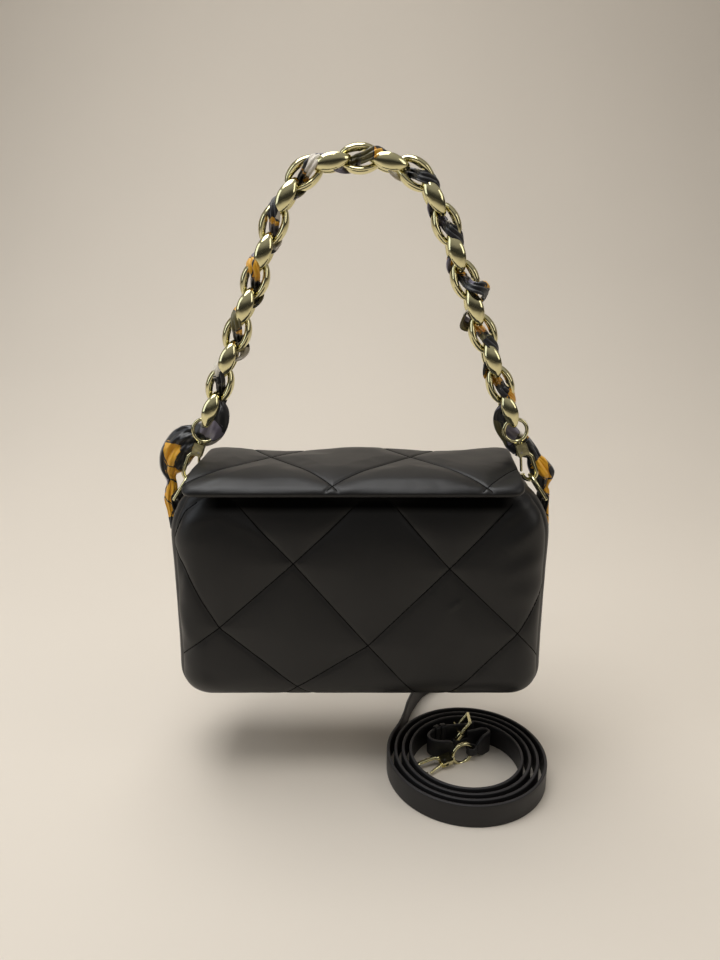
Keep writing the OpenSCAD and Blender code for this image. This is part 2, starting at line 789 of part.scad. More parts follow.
// Ends of the scarf made fast on the outer faces of the D rings' tabs
module scarf_ends() {
    color("dimgray") both_sides()
        translate([dee_bar[0] + tab_loop_r + clear, -tab_w / 2, tab_low]) cube([tail_t / 2, tab_w, dee_bar[1] - tab_low]);
}

// Least clear distance between two stretches of strap, measured on the points of their middle lines
least_apart = 12;
function gap_between(p, q) = min([for (a = p, b = q) norm(a - b)]) - strap_t;
own_gap = min([for (i = [0:len(strap_path) - 1 - least_apart], j = [i + least_apart:len(strap_path) - 1])
    norm(strap_path[i] - strap_path[j])]) - strap_t;
echo(str("least gap of the coiled strap to itself ", own_gap, " mm, to the short strap ",
    gap_between(strap_path, short_path), " mm"));

ROWS = [1:last_link - top_links];
SINGLE = ["hung_links", "scarf_top", "swivel_rings", "right_hook", "left_hook", "right_gate", "left_gate",
    "right_gate_pin", "left_gate_pin", "right_d_ring", "left_d_ring", "right_ring_tab", "left_ring_tab",
    "front_panel", "back_panel", "right_gusset", "left_gusset", "base_panel", "base_board", "lining",
    "rim_magnets", "flap_rear", "flap_rear_lining", "flap_front", "flap_front_lining", "flap_magnets",
    "scarf_tails", "scarf_ends", "long_strap", "short_strap", "buckle_frame", "buckle_prong", "strap_keepers",
    "strap_rings", "near_strap_hook", "near_strap_gate", "near_strap_gate_pin", "far_strap_hook",
    "far_strap_gate", "far_strap_gate_pin"];

for (n = ROWS) chain_row(n);
for (n = ROWS) scarf_row(n);
hung_links();
scarf_top();
swivel_rings();
right_hook();
left_hook();
right_gate();
left_gate();
right_gate_pin();
left_gate_pin();
right_d_ring();
left_d_ring();
right_ring_tab();
left_ring_tab();
front_panel();
back_panel();
right_gusset();
left_gusset();
base_panel();
base_board();
lining();
rim_magnets();
flap_rear();
flap_rear_lining();
flap_front();
flap_front_lining();
flap_magnets();
scarf_tails();
scarf_ends();
long_strap();
short_strap();
buckle_frame();
buckle_prong();
strap_keepers();
strap_rings();
near_strap_hook();
near_strap_gate();
near_strap_gate_pin();
far_strap_hook();
far_strap_gate();
far_strap_gate_pin();
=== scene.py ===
"""Looks of a quilted shoulder bag, its chain handle and its coiled long strap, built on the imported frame."""

import math

import bmesh
import bpy
import numpy as np
from bpy.props import FloatProperty, FloatVectorProperty, PointerProperty
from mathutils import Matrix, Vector
from mathutils.bvhtree import BVHTree


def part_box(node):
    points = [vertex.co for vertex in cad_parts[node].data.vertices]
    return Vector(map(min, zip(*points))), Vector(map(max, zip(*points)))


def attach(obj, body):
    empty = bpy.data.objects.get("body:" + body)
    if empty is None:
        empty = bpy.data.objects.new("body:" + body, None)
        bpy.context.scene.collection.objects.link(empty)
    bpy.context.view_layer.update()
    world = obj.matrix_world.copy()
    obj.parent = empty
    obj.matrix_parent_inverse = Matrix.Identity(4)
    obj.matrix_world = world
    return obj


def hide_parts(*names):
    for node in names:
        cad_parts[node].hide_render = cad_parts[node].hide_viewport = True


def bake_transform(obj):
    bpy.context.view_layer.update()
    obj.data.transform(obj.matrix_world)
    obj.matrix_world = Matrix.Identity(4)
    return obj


bl_info = {
    "name": "Chain shoulder bag",
    "version": (1, 0, 0),
    "blender": (4, 5, 0),
    "location": "View3D > Sidebar > Bag",
    "description": "Builds a quilted shoulder bag, its chain handle, scarf and long strap on a packed frame",
    "category": "Add Mesh",
}

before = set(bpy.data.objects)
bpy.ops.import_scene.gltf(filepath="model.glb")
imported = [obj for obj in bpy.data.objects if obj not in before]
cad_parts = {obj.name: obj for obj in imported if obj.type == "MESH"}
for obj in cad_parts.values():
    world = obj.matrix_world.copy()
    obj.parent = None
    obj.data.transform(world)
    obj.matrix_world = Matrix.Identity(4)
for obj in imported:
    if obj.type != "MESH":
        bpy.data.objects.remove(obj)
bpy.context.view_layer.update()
MM = 0.001
ROWS = range(1, 10)
LAST_LINK = 11
UP = np.array([0.0, 0.0, 1.0])
DEPTH = np.array([0.0, 1.0, 0.0])


# Settings


def length(name, description, default):
    return FloatProperty(name=name, description=description, default=default, unit="LENGTH", precision=5)


def number(name, description, default):
    return FloatProperty(name=name, description=description, default=default)


def colour(name, description, default):
    return FloatVectorProperty(name=name, description=description, default=default, subtype="COLOR", size=3)


class ChainSettings(bpy.types.PropertyGroup):
    link_length: length("Link length", "Outer length of one link", 28.9 * MM)
    link_width: length("Link width", "Outer width of one link, seen face on", 20 * MM)
    wire: length("Wire", "Thickness of a link's round ends", 4.6 * MM)
    band: length("Broad side", "Width of a link's broad sides, seen face on", 5.6 * MM)
    depth: length("Link depth", "Depth of a link's broad sides", 11 * MM)
    gap: length("Gap", "Gap between two hooked wires", 0.3 * MM)
    metal: colour("Metal", "Polished pale gold", (0.80, 0.74, 0.43))


class ScarfSettings(bpy.types.PropertyGroup):
    reach: length("Reach", "How far the ribbon stands out from the chain's middle", 5.9 * MM)
    in_hole: length("Width in a hole", "Half the ribbon's width where it runs through a link", 3.6 * MM)
    outside: length("Width outside", "Half the ribbon's width between two links", 4.8 * MM)
    thickness: length("Thickness", "Thickness of the folded cloth", 0.7 * MM)
    patch: length("Patch", "Size of one patch of the print", 15 * MM)
    black: colour("Black", "Ground of the print", (0.007, 0.007, 0.009))
    yellow: colour("Yellow", "Yellow patches", (0.80, 0.40, 0.015))
    lilac: colour("Lilac grey", "Lilac-grey patches", (0.20, 0.18, 0.24))
    cream: colour("Cream", "Cream patches", (0.66, 0.60, 0.50))
    olive: colour("Olive", "Olive patches", (0.12, 0.10, 0.03))


class BodySettings(bpy.types.PropertyGroup):
    wall: length("Wall", "Thickness of the padded wall", 5.6 * MM)
    crown: length("Crown", "How far a quilted diamond stands out between its seams", 3.4 * MM)
    crown_reach: length("Crown reach", "Distance from a seam at which a diamond is fullest", 30 * MM)
    sink: length("Seam depth", "How far a seam is drawn in below the body's form", 1.0 * MM)
    calm: length("Plain edge", "Height above the base over which the quilting fades", 34 * MM)
    recess: length("Recess", "How far the front is drawn in under the lip", 3.6 * MM)
    mesh: length("Mesh", "Spacing of the points before the last subdivision", 3 * MM)
    stitch: length("Stitch", "Distance from one stitch to the next", 4.2 * MM)
    pressure: number("Pressure", "Pressure of the padding in the simulation", 4.0)
    leather: colour("Leather", "Black leather", (0.0056, 0.0053, 0.0053))


class FlapSettings(bpy.types.PropertyGroup):
    crown: length("Crown", "How far the flap's diamonds stand out between their seams", 2.2 * MM)
    sink: length("Seam depth", "How far a seam is drawn in below the flap's form", 0.8 * MM)
    lip_shift: length("Lip shift", "How far the lip lies to the left of the middle", 5 * MM)
    droop: number("Droop", "Share of its thickness that the flap loses at its lip", 0.5)
    droop_from: length("Droop from", "Distance behind the lip at which the flap begins to thin", 36 * MM)
    sag: length("Sag", "How far the lip hangs below the flap's plane", 1.2 * MM)
    edge: length("Edge", "Radius of the flap's padded edge", 3.4 * MM)
    wave: length("Back wave", "Height of the waves along the back edge", 1.5 * MM)
    lining: colour("Lining", "Cloth lining", (0.012, 0.011, 0.011))


class StrapSettings(bpy.types.PropertyGroup):
    width: length("Width", "Width of the strap", 18 * MM)
    thickness: length("Thickness", "Thickness of the strap", 2.4 * MM)
    coil_radius: length("Coil radius", "Radius of the coil's outermost turn", 61.5 * MM)
    turn_step: length("Turn step", "Distance from one turn to the next", 5.8 * MM)
    lift: length("Tip lift", "How far the tip is raised off the table", 2.9 * MM)
    leather: colour("Leather", "Dark strap leather", (0.0085, 0.0078, 0.0082))
    edge: colour("Edge", "Painted edge of the strap", (0.022, 0.020, 0.021))


class StageSettings(bpy.types.PropertyGroup):
    floor: colour("Floor", "Pale floor and backdrop", (0.76, 0.69, 0.595))
    light: number("Light", "Strength of the lamps", 1.0)


# Meshes


def grid_faces(rows, columns, wrap_rows=False, wrap_columns=False):
    """Quads between neighbouring points of a grid that is stored row by row, closed round where it wraps."""
    first_rows = np.arange(rows if wrap_rows else rows - 1)
    first_columns = np.arange(columns if wrap_columns else columns - 1)
    r, c = np.meshgrid(first_rows, first_columns, indexing="ij")
    r2, c2 = (r + 1) % rows, (c + 1) % columns
    corners = [r * columns + c, r * columns + c2, r2 * columns + c2, r2 * columns + c]
    return np.stack(corners, -1).reshape(-1, 4)


def make_piece(name, points, faces, materials, uv=None, closed=True, merge=0.0, marks=None):
    """One smooth object from points and faces, with a vector for each point from each of the marks. A closed
    one has its doubles merged, when merge is given, and its faces turned outwards."""
    mesh = bpy.data.meshes.new(name)
    mesh.from_pydata(np.asarray(points, float).tolist(), [], [list(map(int, f)) for f in faces])
    if uv is not None:
        corner = np.empty(len(mesh.loops), int)
        mesh.loops.foreach_get("vertex_index", corner)
        mesh.uv_layers.new(name="cloth").data.foreach_set("uv", np.asarray(uv, np.float32)[corner].ravel())
    for mark, values in (marks or {}).items():
        layer = mesh.attributes.new(mark, "FLOAT_VECTOR", "POINT")
        layer.data.foreach_set("vector", np.asarray(values, np.float32).ravel())
    if closed:
        work = bmesh.new()
        work.from_mesh(mesh)
        if merge:
            bmesh.ops.remove_doubles(work, verts=work.verts, dist=merge)
        bmesh.ops.recalc_face_normals(work, faces=work.faces)
        work.to_mesh(mesh)
        work.free()
    mesh.polygons.foreach_set("use_smooth", np.ones(len(mesh.polygons), bool))
    obj = bpy.data.objects.new(name, mesh)
    bpy.context.scene.collection.objects.link(obj)
    for material in materials if isinstance(materials, (list, tuple)) else [materials]:
        mesh.materials.append(material)
    return obj


def joined(parts):
    """Points, faces and UVs of several (points, faces, uv) parts as one."""
    starts = np.cumsum([0] + [len(part[0]) for part in parts])
    faces = [[int(i) + int(start) for i in face] for part, start in zip(parts, starts) for face in part[1]]
    return np.concatenate([part[0] for part in parts]), faces, np.concatenate([part[2] for part in parts])


def unit(v):
    return v / np.maximum(np.linalg.norm(v, axis=-1, keepdims=True), 1e-12)


def tangents(path, closed=False):
    if closed:
        return unit(np.roll(path, -1, 0) - np.roll(path, 1, 0))
    return unit(np.gradient(path, axis=0))


def run_length(path):
    """Distance along a path from its first point."""
    return np.concatenate([[0], np.cumsum(np.linalg.norm(np.diff(path, axis=0), axis=1))])


def row_lengths(grid):
    """Distance of each point of a grid along its own row."""
    steps = np.linalg.norm(np.diff(grid, axis=1), axis=2)
    return np.concatenate([np.zeros((len(grid), 1)), np.cumsum(steps, axis=1)], 1)


def smooth_curve(points, steps):
    """Catmull-Rom curve through the points, with that many pieces from each to the next."""
    p = np.asarray(points, float)
    padded = np.concatenate([p[:1], p, p[-1:]])
    t = (np.arange(steps) / steps)[None, :, None]
    a, b, c, d = (padded[i : len(p) - 1 + i, None, :] for i in range(4))
    inner = b + (c - a) * t / 2 + (2 * a - 5 * b + 4 * c - d) * t * t / 2 + (3 * b - a - 3 * c + d) * t**3 / 2
    return np.concatenate([inner.reshape(-1, p.shape[1]), p[-1:]])


def sweep(path, across, out, section, closed=False):
    """Band or bar along a path: point(i, j) = path(i) + across(i)·section(i, j, 0) + out(i)·section(i, j, 1).
    Each end is closed by a fan from its middle. Returns points, faces and UVs in metres along and round."""
    if section.ndim == 2:
        section = np.broadcast_to(section, (len(path), *section.shape))
    points = path[:, None] + across[:, None] * section[..., :1] + out[:, None] * section[..., 1:]
    rows, columns = points.shape[:2]
    faces = grid_faces(rows, columns, closed, True).tolist()
    along = np.broadcast_to(run_length(path)[:, None], (rows, columns))
    uv = np.stack([along, row_lengths(section)], -1).reshape(-1, 2)
    flat = points.reshape(-1, 3)
    if not closed:
        middles = np.stack([points[0].mean(0), points[-1].mean(0)])
        j = np.arange(columns)
        first, last = rows * columns, rows * columns + 1
        faces += np.stack([np.full(columns, first), (j + 1) % columns, j], -1).tolist()
        base = (rows - 1) * columns
        faces += np.stack([np.full(columns, last), base + j, base + (j + 1) % columns], -1).tolist()
        flat = np.concatenate([flat, middles])
        uv = np.concatenate([uv, uv[[0, base]]])
    return flat, faces, uv


def oblong(half_across, half_out, corner, steps=3):
    """Closed section: a rectangle with round corners of that many steps, and four points more along each
    of the sides that face out."""
    turn = np.linspace(0, math.pi / 2, steps + 1)
    centre = np.array([half_across - corner, half_out - corner])
    arc = corner * np.stack([np.cos(turn), np.sin(turn)], -1) + centre
    quarters = [arc, arc[::-1] * [-1, 1], -arc, arc[::-1] * [1, -1]]
    top = np.linspace(centre[0], -centre[0], 6)[1:-1, None] * [1, 0] + [0, half_out]
    return np.concatenate([quarters[0], top, quarters[1], quarters[2], -top, quarters[3]])


def cloth_band(path, across, half_width, height, thickness, columns=17):
    """Folded ribbon: point(i, x) = path(i) + across(i)·x·half_width(i) + out(i)·height(i, x). It is given a
    thickness. Returns points, faces, UVs on the flat cloth, and the cloth's flat width and length."""
    along = tangents(path)
    across = unit(across - (across * along).sum(1, keepdims=True) * along)
    out = np.cross(along, across)
    x = np.linspace(-1, 1, columns)
    sideways = half_width[:, None] * x
    lift = height(x[None, :], np.arange(len(path))[:, None] / (len(path) - 1))
    middle = np.stack([sideways, lift], -1)
    slope = unit(np.gradient(middle, axis=1))
    normal = np.stack([-slope[..., 1], slope[..., 0]], -1) * thickness / 2
    section = np.concatenate([middle + normal, (middle - normal)[:, ::-1]], 1)
    points, faces, _ = sweep(path, across, out, section)
    flat_x = row_lengths(middle)
    v = np.concatenate([flat_x, flat_x[:, ::-1]], 1)
    u = np.broadcast_to(run_length(path)[:, None], v.shape)
    uv = np.stack([u, v], -1).reshape(-1, 2)
    uv = np.concatenate([uv, uv[[0, -1]]])
    return points, faces, uv, (float(flat_x[:, -1].mean()), float(run_length(path)[-1]))


def evened(obj, step, held, rounds=14):
    """Movement of each point, averaged with its neighbours' in each round. The held points stay at zero."""
    edges = np.empty(2 * len(obj.data.edges), np.int32)
    obj.data.edges.foreach_get("vertices", edges)
    ends = np.concatenate([edges[::2], edges[1::2]])
    others = np.concatenate([edges[1::2], edges[::2]])
    count = np.maximum(np.bincount(ends, minlength=len(step)), 1)[:, None]
    for _ in range(rounds):
        sums = [np.bincount(ends, step[others, i], minlength=len(step)) for i in range(3)]
        step = (step + np.stack(sums, -1) / count) / 2 * ~held[:, None]
    return step


def settle(obj, pinned, pressure, cap, extra=0.004, frames=18):
    """Cloth simulation of padding under a skin: the pinned points hold, and the others swell under pressure.
    The swelling is then evened out, as foam under the skin does it, and no point moves by more than cap."""
    count = len(obj.data.vertices)
    start = points_of(obj)
    group = obj.vertex_groups.new(name="held")
    group.add(np.flatnonzero(pinned).tolist(), 1.0, "REPLACE")
    cloth = obj.modifiers.new("Cloth", "CLOTH")
    cloth.settings.vertex_group_mass = "held"
    cloth.settings.quality = 6
    cloth.settings.mass = 0.2
    cloth.settings.tension_stiffness = 12
    cloth.settings.compression_stiffness = 12
    cloth.settings.shear_stiffness = 6
    cloth.settings.bending_stiffness = 0.6
    cloth.settings.shrink_min = -extra
    cloth.settings.use_pressure = True
    cloth.settings.uniform_pressure_force = pressure
    cloth.settings.effector_weights.gravity = 0
    cloth.collision_settings.use_collision = False
    cloth.collision_settings.use_self_collision = False
    for number in range(1, frames + 1):
        bpy.context.scene.frame_set(number)
    seen = obj.evaluated_get(bpy.context.evaluated_depsgraph_get()).data
    moved = np.empty(count * 3)
    seen.vertices.foreach_get("co", moved)
    obj.modifiers.remove(cloth)
    obj.vertex_groups.remove(group)
    bpy.context.scene.frame_set(1)
    step = evened(obj, np.nan_to_num(moved.reshape(-1, 3) - start), pinned)
    far = np.maximum(np.linalg.norm(step, axis=1, keepdims=True), 1e-9)
    place(obj, start + step * np.minimum(1, cap / far))


def subdivide(obj, levels=1):
    """Catmull-Clark subdivision, applied."""
    modifier = obj.modifiers.new("Smooth", "SUBSURF")
    modifier.levels = modifier.render_levels = levels
    bpy.context.view_layer.objects.active = obj
    bpy.ops.object.modifier_apply(modifier=modifier.name)


def points_of(obj):
    co = np.empty(len(obj.data.vertices) * 3)
    obj.data.vertices.foreach_get("co", co)
    return co.reshape(-1, 3)


def place(obj, co):
    obj.data.vertices.foreach_set("co", co.ravel())
    obj.data.update()


def read_attribute(obj, name):
    values = np.empty(len(obj.data.vertices) * 3, np.float32)
    obj.data.attributes[name].data.foreach_get("vector", values)
    return values.reshape(-1, 3).astype(float)


def normals_of(obj):
    values = np.empty(len(obj.data.vertices) * 3, np.float32)
    obj.data.vertices.foreach_get("normal", values)
    return values.reshape(-1, 3).astype(float)


def at_places(at, run, rows):
    """Rows that go with the distances run, read off at other distances."""
    return np.stack([np.interp(at, run, rows[:, i]) for i in range(rows.shape[1])], -1)


def beads(points, along, normal, pitch, radius):
    """Row of stitches: each is a small bent bead, drawn out along the seam and sunk half into the skin."""
    rings, sides = 6, 6
    t = np.linspace(-1, 1, rings)
    swell = np.sqrt(np.clip(1 - (0.985 * t) ** 4, 0, 1))
    turn = np.linspace(0, 2 * math.pi, sides, endpoint=False)
    bead = np.stack(
        [
            np.broadcast_to(t[:, None] * 0.36 * pitch, (rings, sides)),
            swell[:, None] * np.cos(turn) * radius,
            swell[:, None] * np.sin(turn) * radius - (t**2)[:, None] * radius * 1.2,
        ],
        -1,
    ).reshape(-1, 3)
    axes = np.stack([along, np.cross(normal, along), normal], 1)
    placed = points[:, None] + np.einsum("pc,ncd->npd", bead, axes)
    count = rings * sides
    starts = np.arange(len(points)) * count
    faces = (grid_faces(rings, sides, False, True)[None] + starts[:, None, None]).reshape(-1, 4).tolist()
    first, last = np.arange(sides)[::-1], count - sides + np.arange(sides)
    faces += (starts[:, None] + first).tolist() + (starts[:, None] + last).tolist()
    return placed.reshape(-1, 3), faces, np.zeros((placed[..., 0].size, 2))


# How far from its guessed place a seam's line is looked for on the piece
SEARCH = 20 * MM


def sewn(name, obj, lines, pitch, radius):
    """Thread in the seams of a piece: on each line of (points, outward directions), stitches along the seam
    where the line meets the piece, and under them a thin, near black strand that lies in the seam: painted
    shade, the dark line that the seam's crease shows."""
    tree = BVHTree.FromObject(obj, bpy.context.evaluated_depsgraph_get())
    parts = []
    turn = np.linspace(0, 2 * math.pi, 6, endpoint=False)
    circle = 0.85 * radius * np.stack([np.cos(turn), np.sin(turn)], -1)
    for guesses, outward in lines:
        starts = guesses + SEARCH * outward
        cast = [tree.ray_cast(Vector(p), Vector(-n), 2 * SEARCH) for p, n in zip(starts, outward)]
        found = [hit for hit in cast if hit[0] is not None]
        if len(found) < 3:
            continue
        points = np.array([hit[0] for hit in found])
        normal = np.array([hit[1] for hit in found])
        along = tangents(points)
        normal = unit(normal - (normal * along).sum(1, keepdims=True) * along)
        # Painted shade: a continuous dark strand along the seam stands in for the shade in its crease
        parts.append(sweep(points, np.cross(normal, along), normal, circle))
        run = run_length(points)
        stops = np.arange(pitch / 2, run[-1], pitch)
        middles, along, normal = (at_places(stops, run, v) for v in (points, along, normal))
        parts.append(beads(middles, unit(along), unit(normal), pitch, radius))
    return make_piece(name, *joined(parts)[:2], thread_and_seam_shade_material())


def drawn(corners, step):
    """Points along a broken line, about one step apart."""
    p = np.array(corners, float) * MM
    run = run_length(p)
    return at_places(np.linspace(0, run[-1], int(run[-1] / step) + 1), run, p)


# Materials


def new_material(name):
    material = bpy.data.materials.new(name)
    material.use_nodes = True
    tree = material.node_tree
    return material, tree, tree.nodes["Principled BSDF"]


def add_node(tree, kind, links=None, **values):
    """A node with its fields set and its inputs linked or set by name."""
    node = tree.nodes.new(kind)
    for key, value in values.items():
        setattr(node, key, value)
    for key, value in (links or {}).items():
        socket = node.inputs[key]
        if isinstance(value, bpy.types.NodeSocket):
            tree.links.new(value, socket)
        else:
            socket.default_value = value
    return node


def object_coordinates(tree, size=(1, 1, 1)):
    source = add_node(tree, "ShaderNodeTexCoord").outputs["Object"]
    return add_node(tree, "ShaderNodeMapping", {"Vector": source, "Scale": size}).outputs[0]


def blend_between(tree, factor, low, high):
    """Value that goes from low to high as factor goes from 0 to 1."""
    return add_node(tree, "ShaderNodeMapRange", {"Value": factor, "To Min": low, "To Max": high}).outputs[0]


def share_between(tree, value, low, high):
    """Value that goes from 0 to 1 as another goes from low to high, and stays there beyond."""
    inputs = {"Value": value, "From Min": low, "From Max": high}
    return add_node(tree, "ShaderNodeMapRange", inputs).outputs[0]


def product(tree, one, other, clamped=False):
    inputs = {0: one, 1: other}
    return add_node(tree, "ShaderNodeMath", inputs, operation="MULTIPLY", use_clamp=clamped).outputs[0]


def scaled(tint, by):
    return tuple(by * c for c in tint)


def two_colours(tree, factor, low, high):
    """Mix of two colours, each given as three numbers or as another node's output."""
    mix = add_node(tree, "ShaderNodeMix", {"Factor": factor}, data_type="RGBA")
    for key, value in (("A", low), ("B", high)):
        if isinstance(value, bpy.types.NodeSocket):
            tree.links.new(value, mix.inputs[key])
        else:
            mix.inputs[key].default_value = (*value, 1)
    return mix.outputs["Result"]


def noise(tree, where, scale, detail=2.0, roughness=0.5):
    inputs = {"Vector": where, "Scale": scale, "Detail": detail, "Roughness": roughness}
    return add_node(tree, "ShaderNodeTexNoise", inputs).outputs["Fac"]


def bump(tree, shader, height, strength, distance):
    made = add_node(tree, "ShaderNodeBump", {"Height": height, "Strength": strength, "Distance": distance})
    tree.links.new(made.outputs[0], shader.inputs["Normal"])


def polished_metal(name, tint, rough):
    """Plated metal: a clear tint with faint clouding and hairline scratches in its roughness and relief."""
    material, tree, shader = new_material(name)
    where = object_coordinates(tree)
    shader.inputs["Metallic"].default_value = 1.0
    cloud = noise(tree, where, 60, 3)
    tree.links.new(two_colours(tree, cloud, scaled(tint, 0.86), tint), shader.inputs["Base Color"])
    hair = noise(tree, object_coordinates(tree, (400, 2600, 900)), 1.0, 2)
    tree.links.new(blend_between(tree, hair, rough * 0.7, rough * 1.5), shader.inputs["Roughness"])
    bump(tree, shader, noise(tree, where, 130, 2), 0.3, 0.0006)
    return material


# Painted shade under the flap's lip, darker and duller leather on the front: heights at which it begins and is
# full, and distances from the middle of the front at which it ends and is full
LIP_SHADE_HEIGHTS = (-0.2322, -0.2275)
LIP_SHADE_ENDS = (0.112, 0.098)


def soft_leather(name, tint, rough, grain=1.0):
    """Smooth leather: fine pebbled grain in its relief, slow changes of tone and gloss, and painted shade on
    the front under the flap's lip, where the leather is made darker and duller. Only a piece with the
    attribute
    "place" has that painted shade."""
    material, tree, shader = new_material(name)
    where = object_coordinates(tree)
    leather = two_colours(tree, noise(tree, where, 14, 3), tint, scaled(tint, 1.7))
    spot = add_node(tree, "ShaderNodeAttribute", attribute_name="place")
    u, z, side = add_node(tree, "ShaderNodeSeparateXYZ", {0: spot.outputs["Vector"]}).outputs
    # Painted shade under the lip: this mask darkens the colour and dulls the gloss of the front's band just
    # below the flap's lip, where its shadow falls
    high = share_between(tree, z, *LIP_SHADE_HEIGHTS)
    off_middle = add_node(tree, "ShaderNodeMath", {0: u}, operation="ABSOLUTE").outputs[0]
    middle = share_between(tree, off_middle, *LIP_SHADE_ENDS)
    front = product(tree, side, -1.0, True)
    painted_lip_shade = product(tree, product(tree, high, middle), front)
    tree.links.new(two_colours(tree, painted_lip_shade, leather, scaled(tint, 0.15)), shader.inputs["Base Color"])
    gloss = blend_between(tree, noise(tree, where, 45, 4), rough - 0.06, rough + 0.08)
    tree.links.new(gloss, shader.inputs["Roughness"])
    tree.links.new(blend_between(tree, painted_lip_shade, 0.4, 0.03), shader.inputs["Specular IOR Level"])
    pebbles = add_node(tree, "ShaderNodeTexVoronoi", {"Vector": where, "Scale": 1300.0}).outputs["Distance"]
    wrinkles = noise(tree, where, 420, 5, 0.65)
    relief = add_node(tree, "ShaderNodeMath", {0: pebbles, 1: 0.5, 2: wrinkles}, operation="MULTIPLY_ADD")
    bump(tree, shader, relief.outputs[0], 0.16 * grain, 0.00025)
    return material


# Waves in a metre of a wave texture whose scale is 1
WAVES_IN_METRE = 3.2
# Distance from thread to thread in the linings
LINING_PITCH = 0.5 * MM


def woven_cloth(name, tint, rough, pitch):
    """Plain weave: two crossed waves on the object's own coordinates give the threads."""
    material, tree, shader = new_material(name)
    scale = 1 / (2 * pitch) / WAVES_IN_METRE
    inputs = {"Vector": object_coordinates(tree), "Scale": scale, "Distortion": 0.6}
    waves = [add_node(tree, "ShaderNodeTexWave", inputs, bands_direction=axis) for axis in ("X", "Z")]
    weave = product(tree, *(wave.outputs["Fac"] for wave in waves))
    tree.links.new(two_colours(tree, weave, tint, scaled(tint, 1.8)), shader.inputs["Base Color"])
    shader.inputs["Roughness"].default_value = rough
    shader.inputs["Sheen Weight"].default_value = 0.25
    bump(tree, shader, weave, 0.3, 0.0002)
    return material


def printed_satin(name, settings, shift):
    """Satin with a made-up print: uneven flat patches with thin dark borders, on the cloth's own UVs."""
    material, tree, shader = new_material(name)
    cloth = add_node(tree, "ShaderNodeUVMap", uv_map="cloth").outputs[0]
    size = 1 / settings.patch
    laid = {
        "Vector": cloth,
        "Location": (shift, shift * 0.7, 0),
        "Rotation": (0, 0, 0.5),
        "Scale": (size, size * 0.9, 1),
    }
    where = add_node(tree, "ShaderNodeMapping", laid).outputs[0]
    patches = {"Vector": where, "Scale": 1.0, "Randomness": 0.85}
    cells = add_node(tree, "ShaderNodeTexVoronoi", patches, voronoi_dimensions="2D", distance="MANHATTAN")
    pick = add_node(tree, "ShaderNodeSeparateColor", {"Color": cells.outputs["Color"]}).outputs[0]
    ramp = add_node(tree, "ShaderNodeValToRGB", {"Fac": pick})
    ramp.color_ramp.interpolation = "CONSTANT"
    steps = [
        (0.0, settings.black),
        (0.37, settings.yellow),
        (0.55, settings.lilac),
        (0.73, settings.black),
        (0.83, settings.cream),
        (0.92, settings.olive),
    ]
    stops = ramp.color_ramp.elements
    while len(stops) < len(steps):
        stops.new(0.5)
    for stop, (at, tint) in zip(stops, steps):
        stop.position = at
        stop.color = (*tint, 1)
    border = add_node(
        tree, "ShaderNodeTexVoronoi", patches, voronoi_dimensions="2D", feature="DISTANCE_TO_EDGE"
    )
    within = {0: border.outputs["Distance"], 1: 0.035}
    inside = add_node(tree, "ShaderNodeMath", within, operation="GREATER_THAN")
    tint = two_colours(tree, inside.outputs[0], settings.black, ramp.outputs[0])
    tree.links.new(tint, shader.inputs["Base Color"])
    shader.inputs["Roughness"].default_value = 0.34
    shader.inputs["Sheen Weight"].default_value = 0.3
    threads = add_node(tree, "ShaderNodeTexWave", {"Vector": cloth, "Scale": 1400.0, "Distortion": 0.4})
    bump(tree, shader, threads.outputs["Fac"], 0.12, 0.0001)
    return material


def plain_board(name, tint):
    """Pressed fibre board: mottled tone and a dull, finely rough face."""
    material, tree, shader = new_material(name)
    where = object_coordinates(tree)
    mottled = two_colours(tree, noise(tree, where, 300, 5), tint, scaled(tint, 1.4))
    tree.links.new(mottled, shader.inputs["Base Color"])
    shader.inputs["Roughness"].default_value = 0.85
    bump(tree, shader, noise(tree, where, 900, 3), 0.3, 0.0002)
    return material


def dress(nodes, material):
    """Gives carried-over CAD nodes a finish."""
    for name in nodes:
        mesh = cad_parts[name].data
        mesh.materials.clear()
        mesh.materials.append(material)


def gold():
    found = bpy.data.materials.get("Pale_Gold")
    return found or polished_metal("Pale_Gold", bpy.context.scene.bag_chain.metal, 0.12)


def black_leather():
    found = bpy.data.materials.get("Black_Leather")
    return found or soft_leather("Black_Leather", bpy.context.scene.bag_body.leather, 0.43)


# Chain handle

# Slopes of the links from the top one outwards, in degrees; the last one holds for all that follow
LINK_SLOPE = [0, 12, 36, 58, 68.8]
# Power that draws the links' round section out to a soft ridge
RIDGE = 1.12


def chain_places():
    """Middles and headings of links 0 to 11 of the right-hand run. A face-on link spans the two wires that
    cross it, an edge-on one the middles of its own wires, and each starts where the one before it ends."""
    chain = bpy.context.scene.bag_chain
    edge_span = chain.link_length - chain.wire
    face_span = edge_span - 2 * (chain.wire + chain.gap)
    slopes = np.radians([LINK_SLOPE[min(k, len(LINK_SLOPE) - 1)] for k in range(LAST_LINK + 1)])
    headings = np.stack([np.cos(slopes), np.zeros(len(slopes)), -np.sin(slopes)], -1)
    spans = np.where(np.arange(LAST_LINK + 1) % 2 == 0, face_span, edge_span)
    spans[0] = face_span / 2
    ends = np.cumsum(headings * spans[:, None], axis=0)
    middles = ends - headings * spans[:, None] / 2
    middles[0] = 0
    return middles, headings


def side_arc(length_, width, end_radius):
    """Radius of an oval's side arcs, and the direction of the normal where they meet its round ends."""
    half_run = length_ / 2 - end_radius
    radius = ((width / 2) ** 2 + half_run**2 - end_radius**2) / (width - 2 * end_radius)
    return radius, math.atan2(half_run, radius - width / 2)


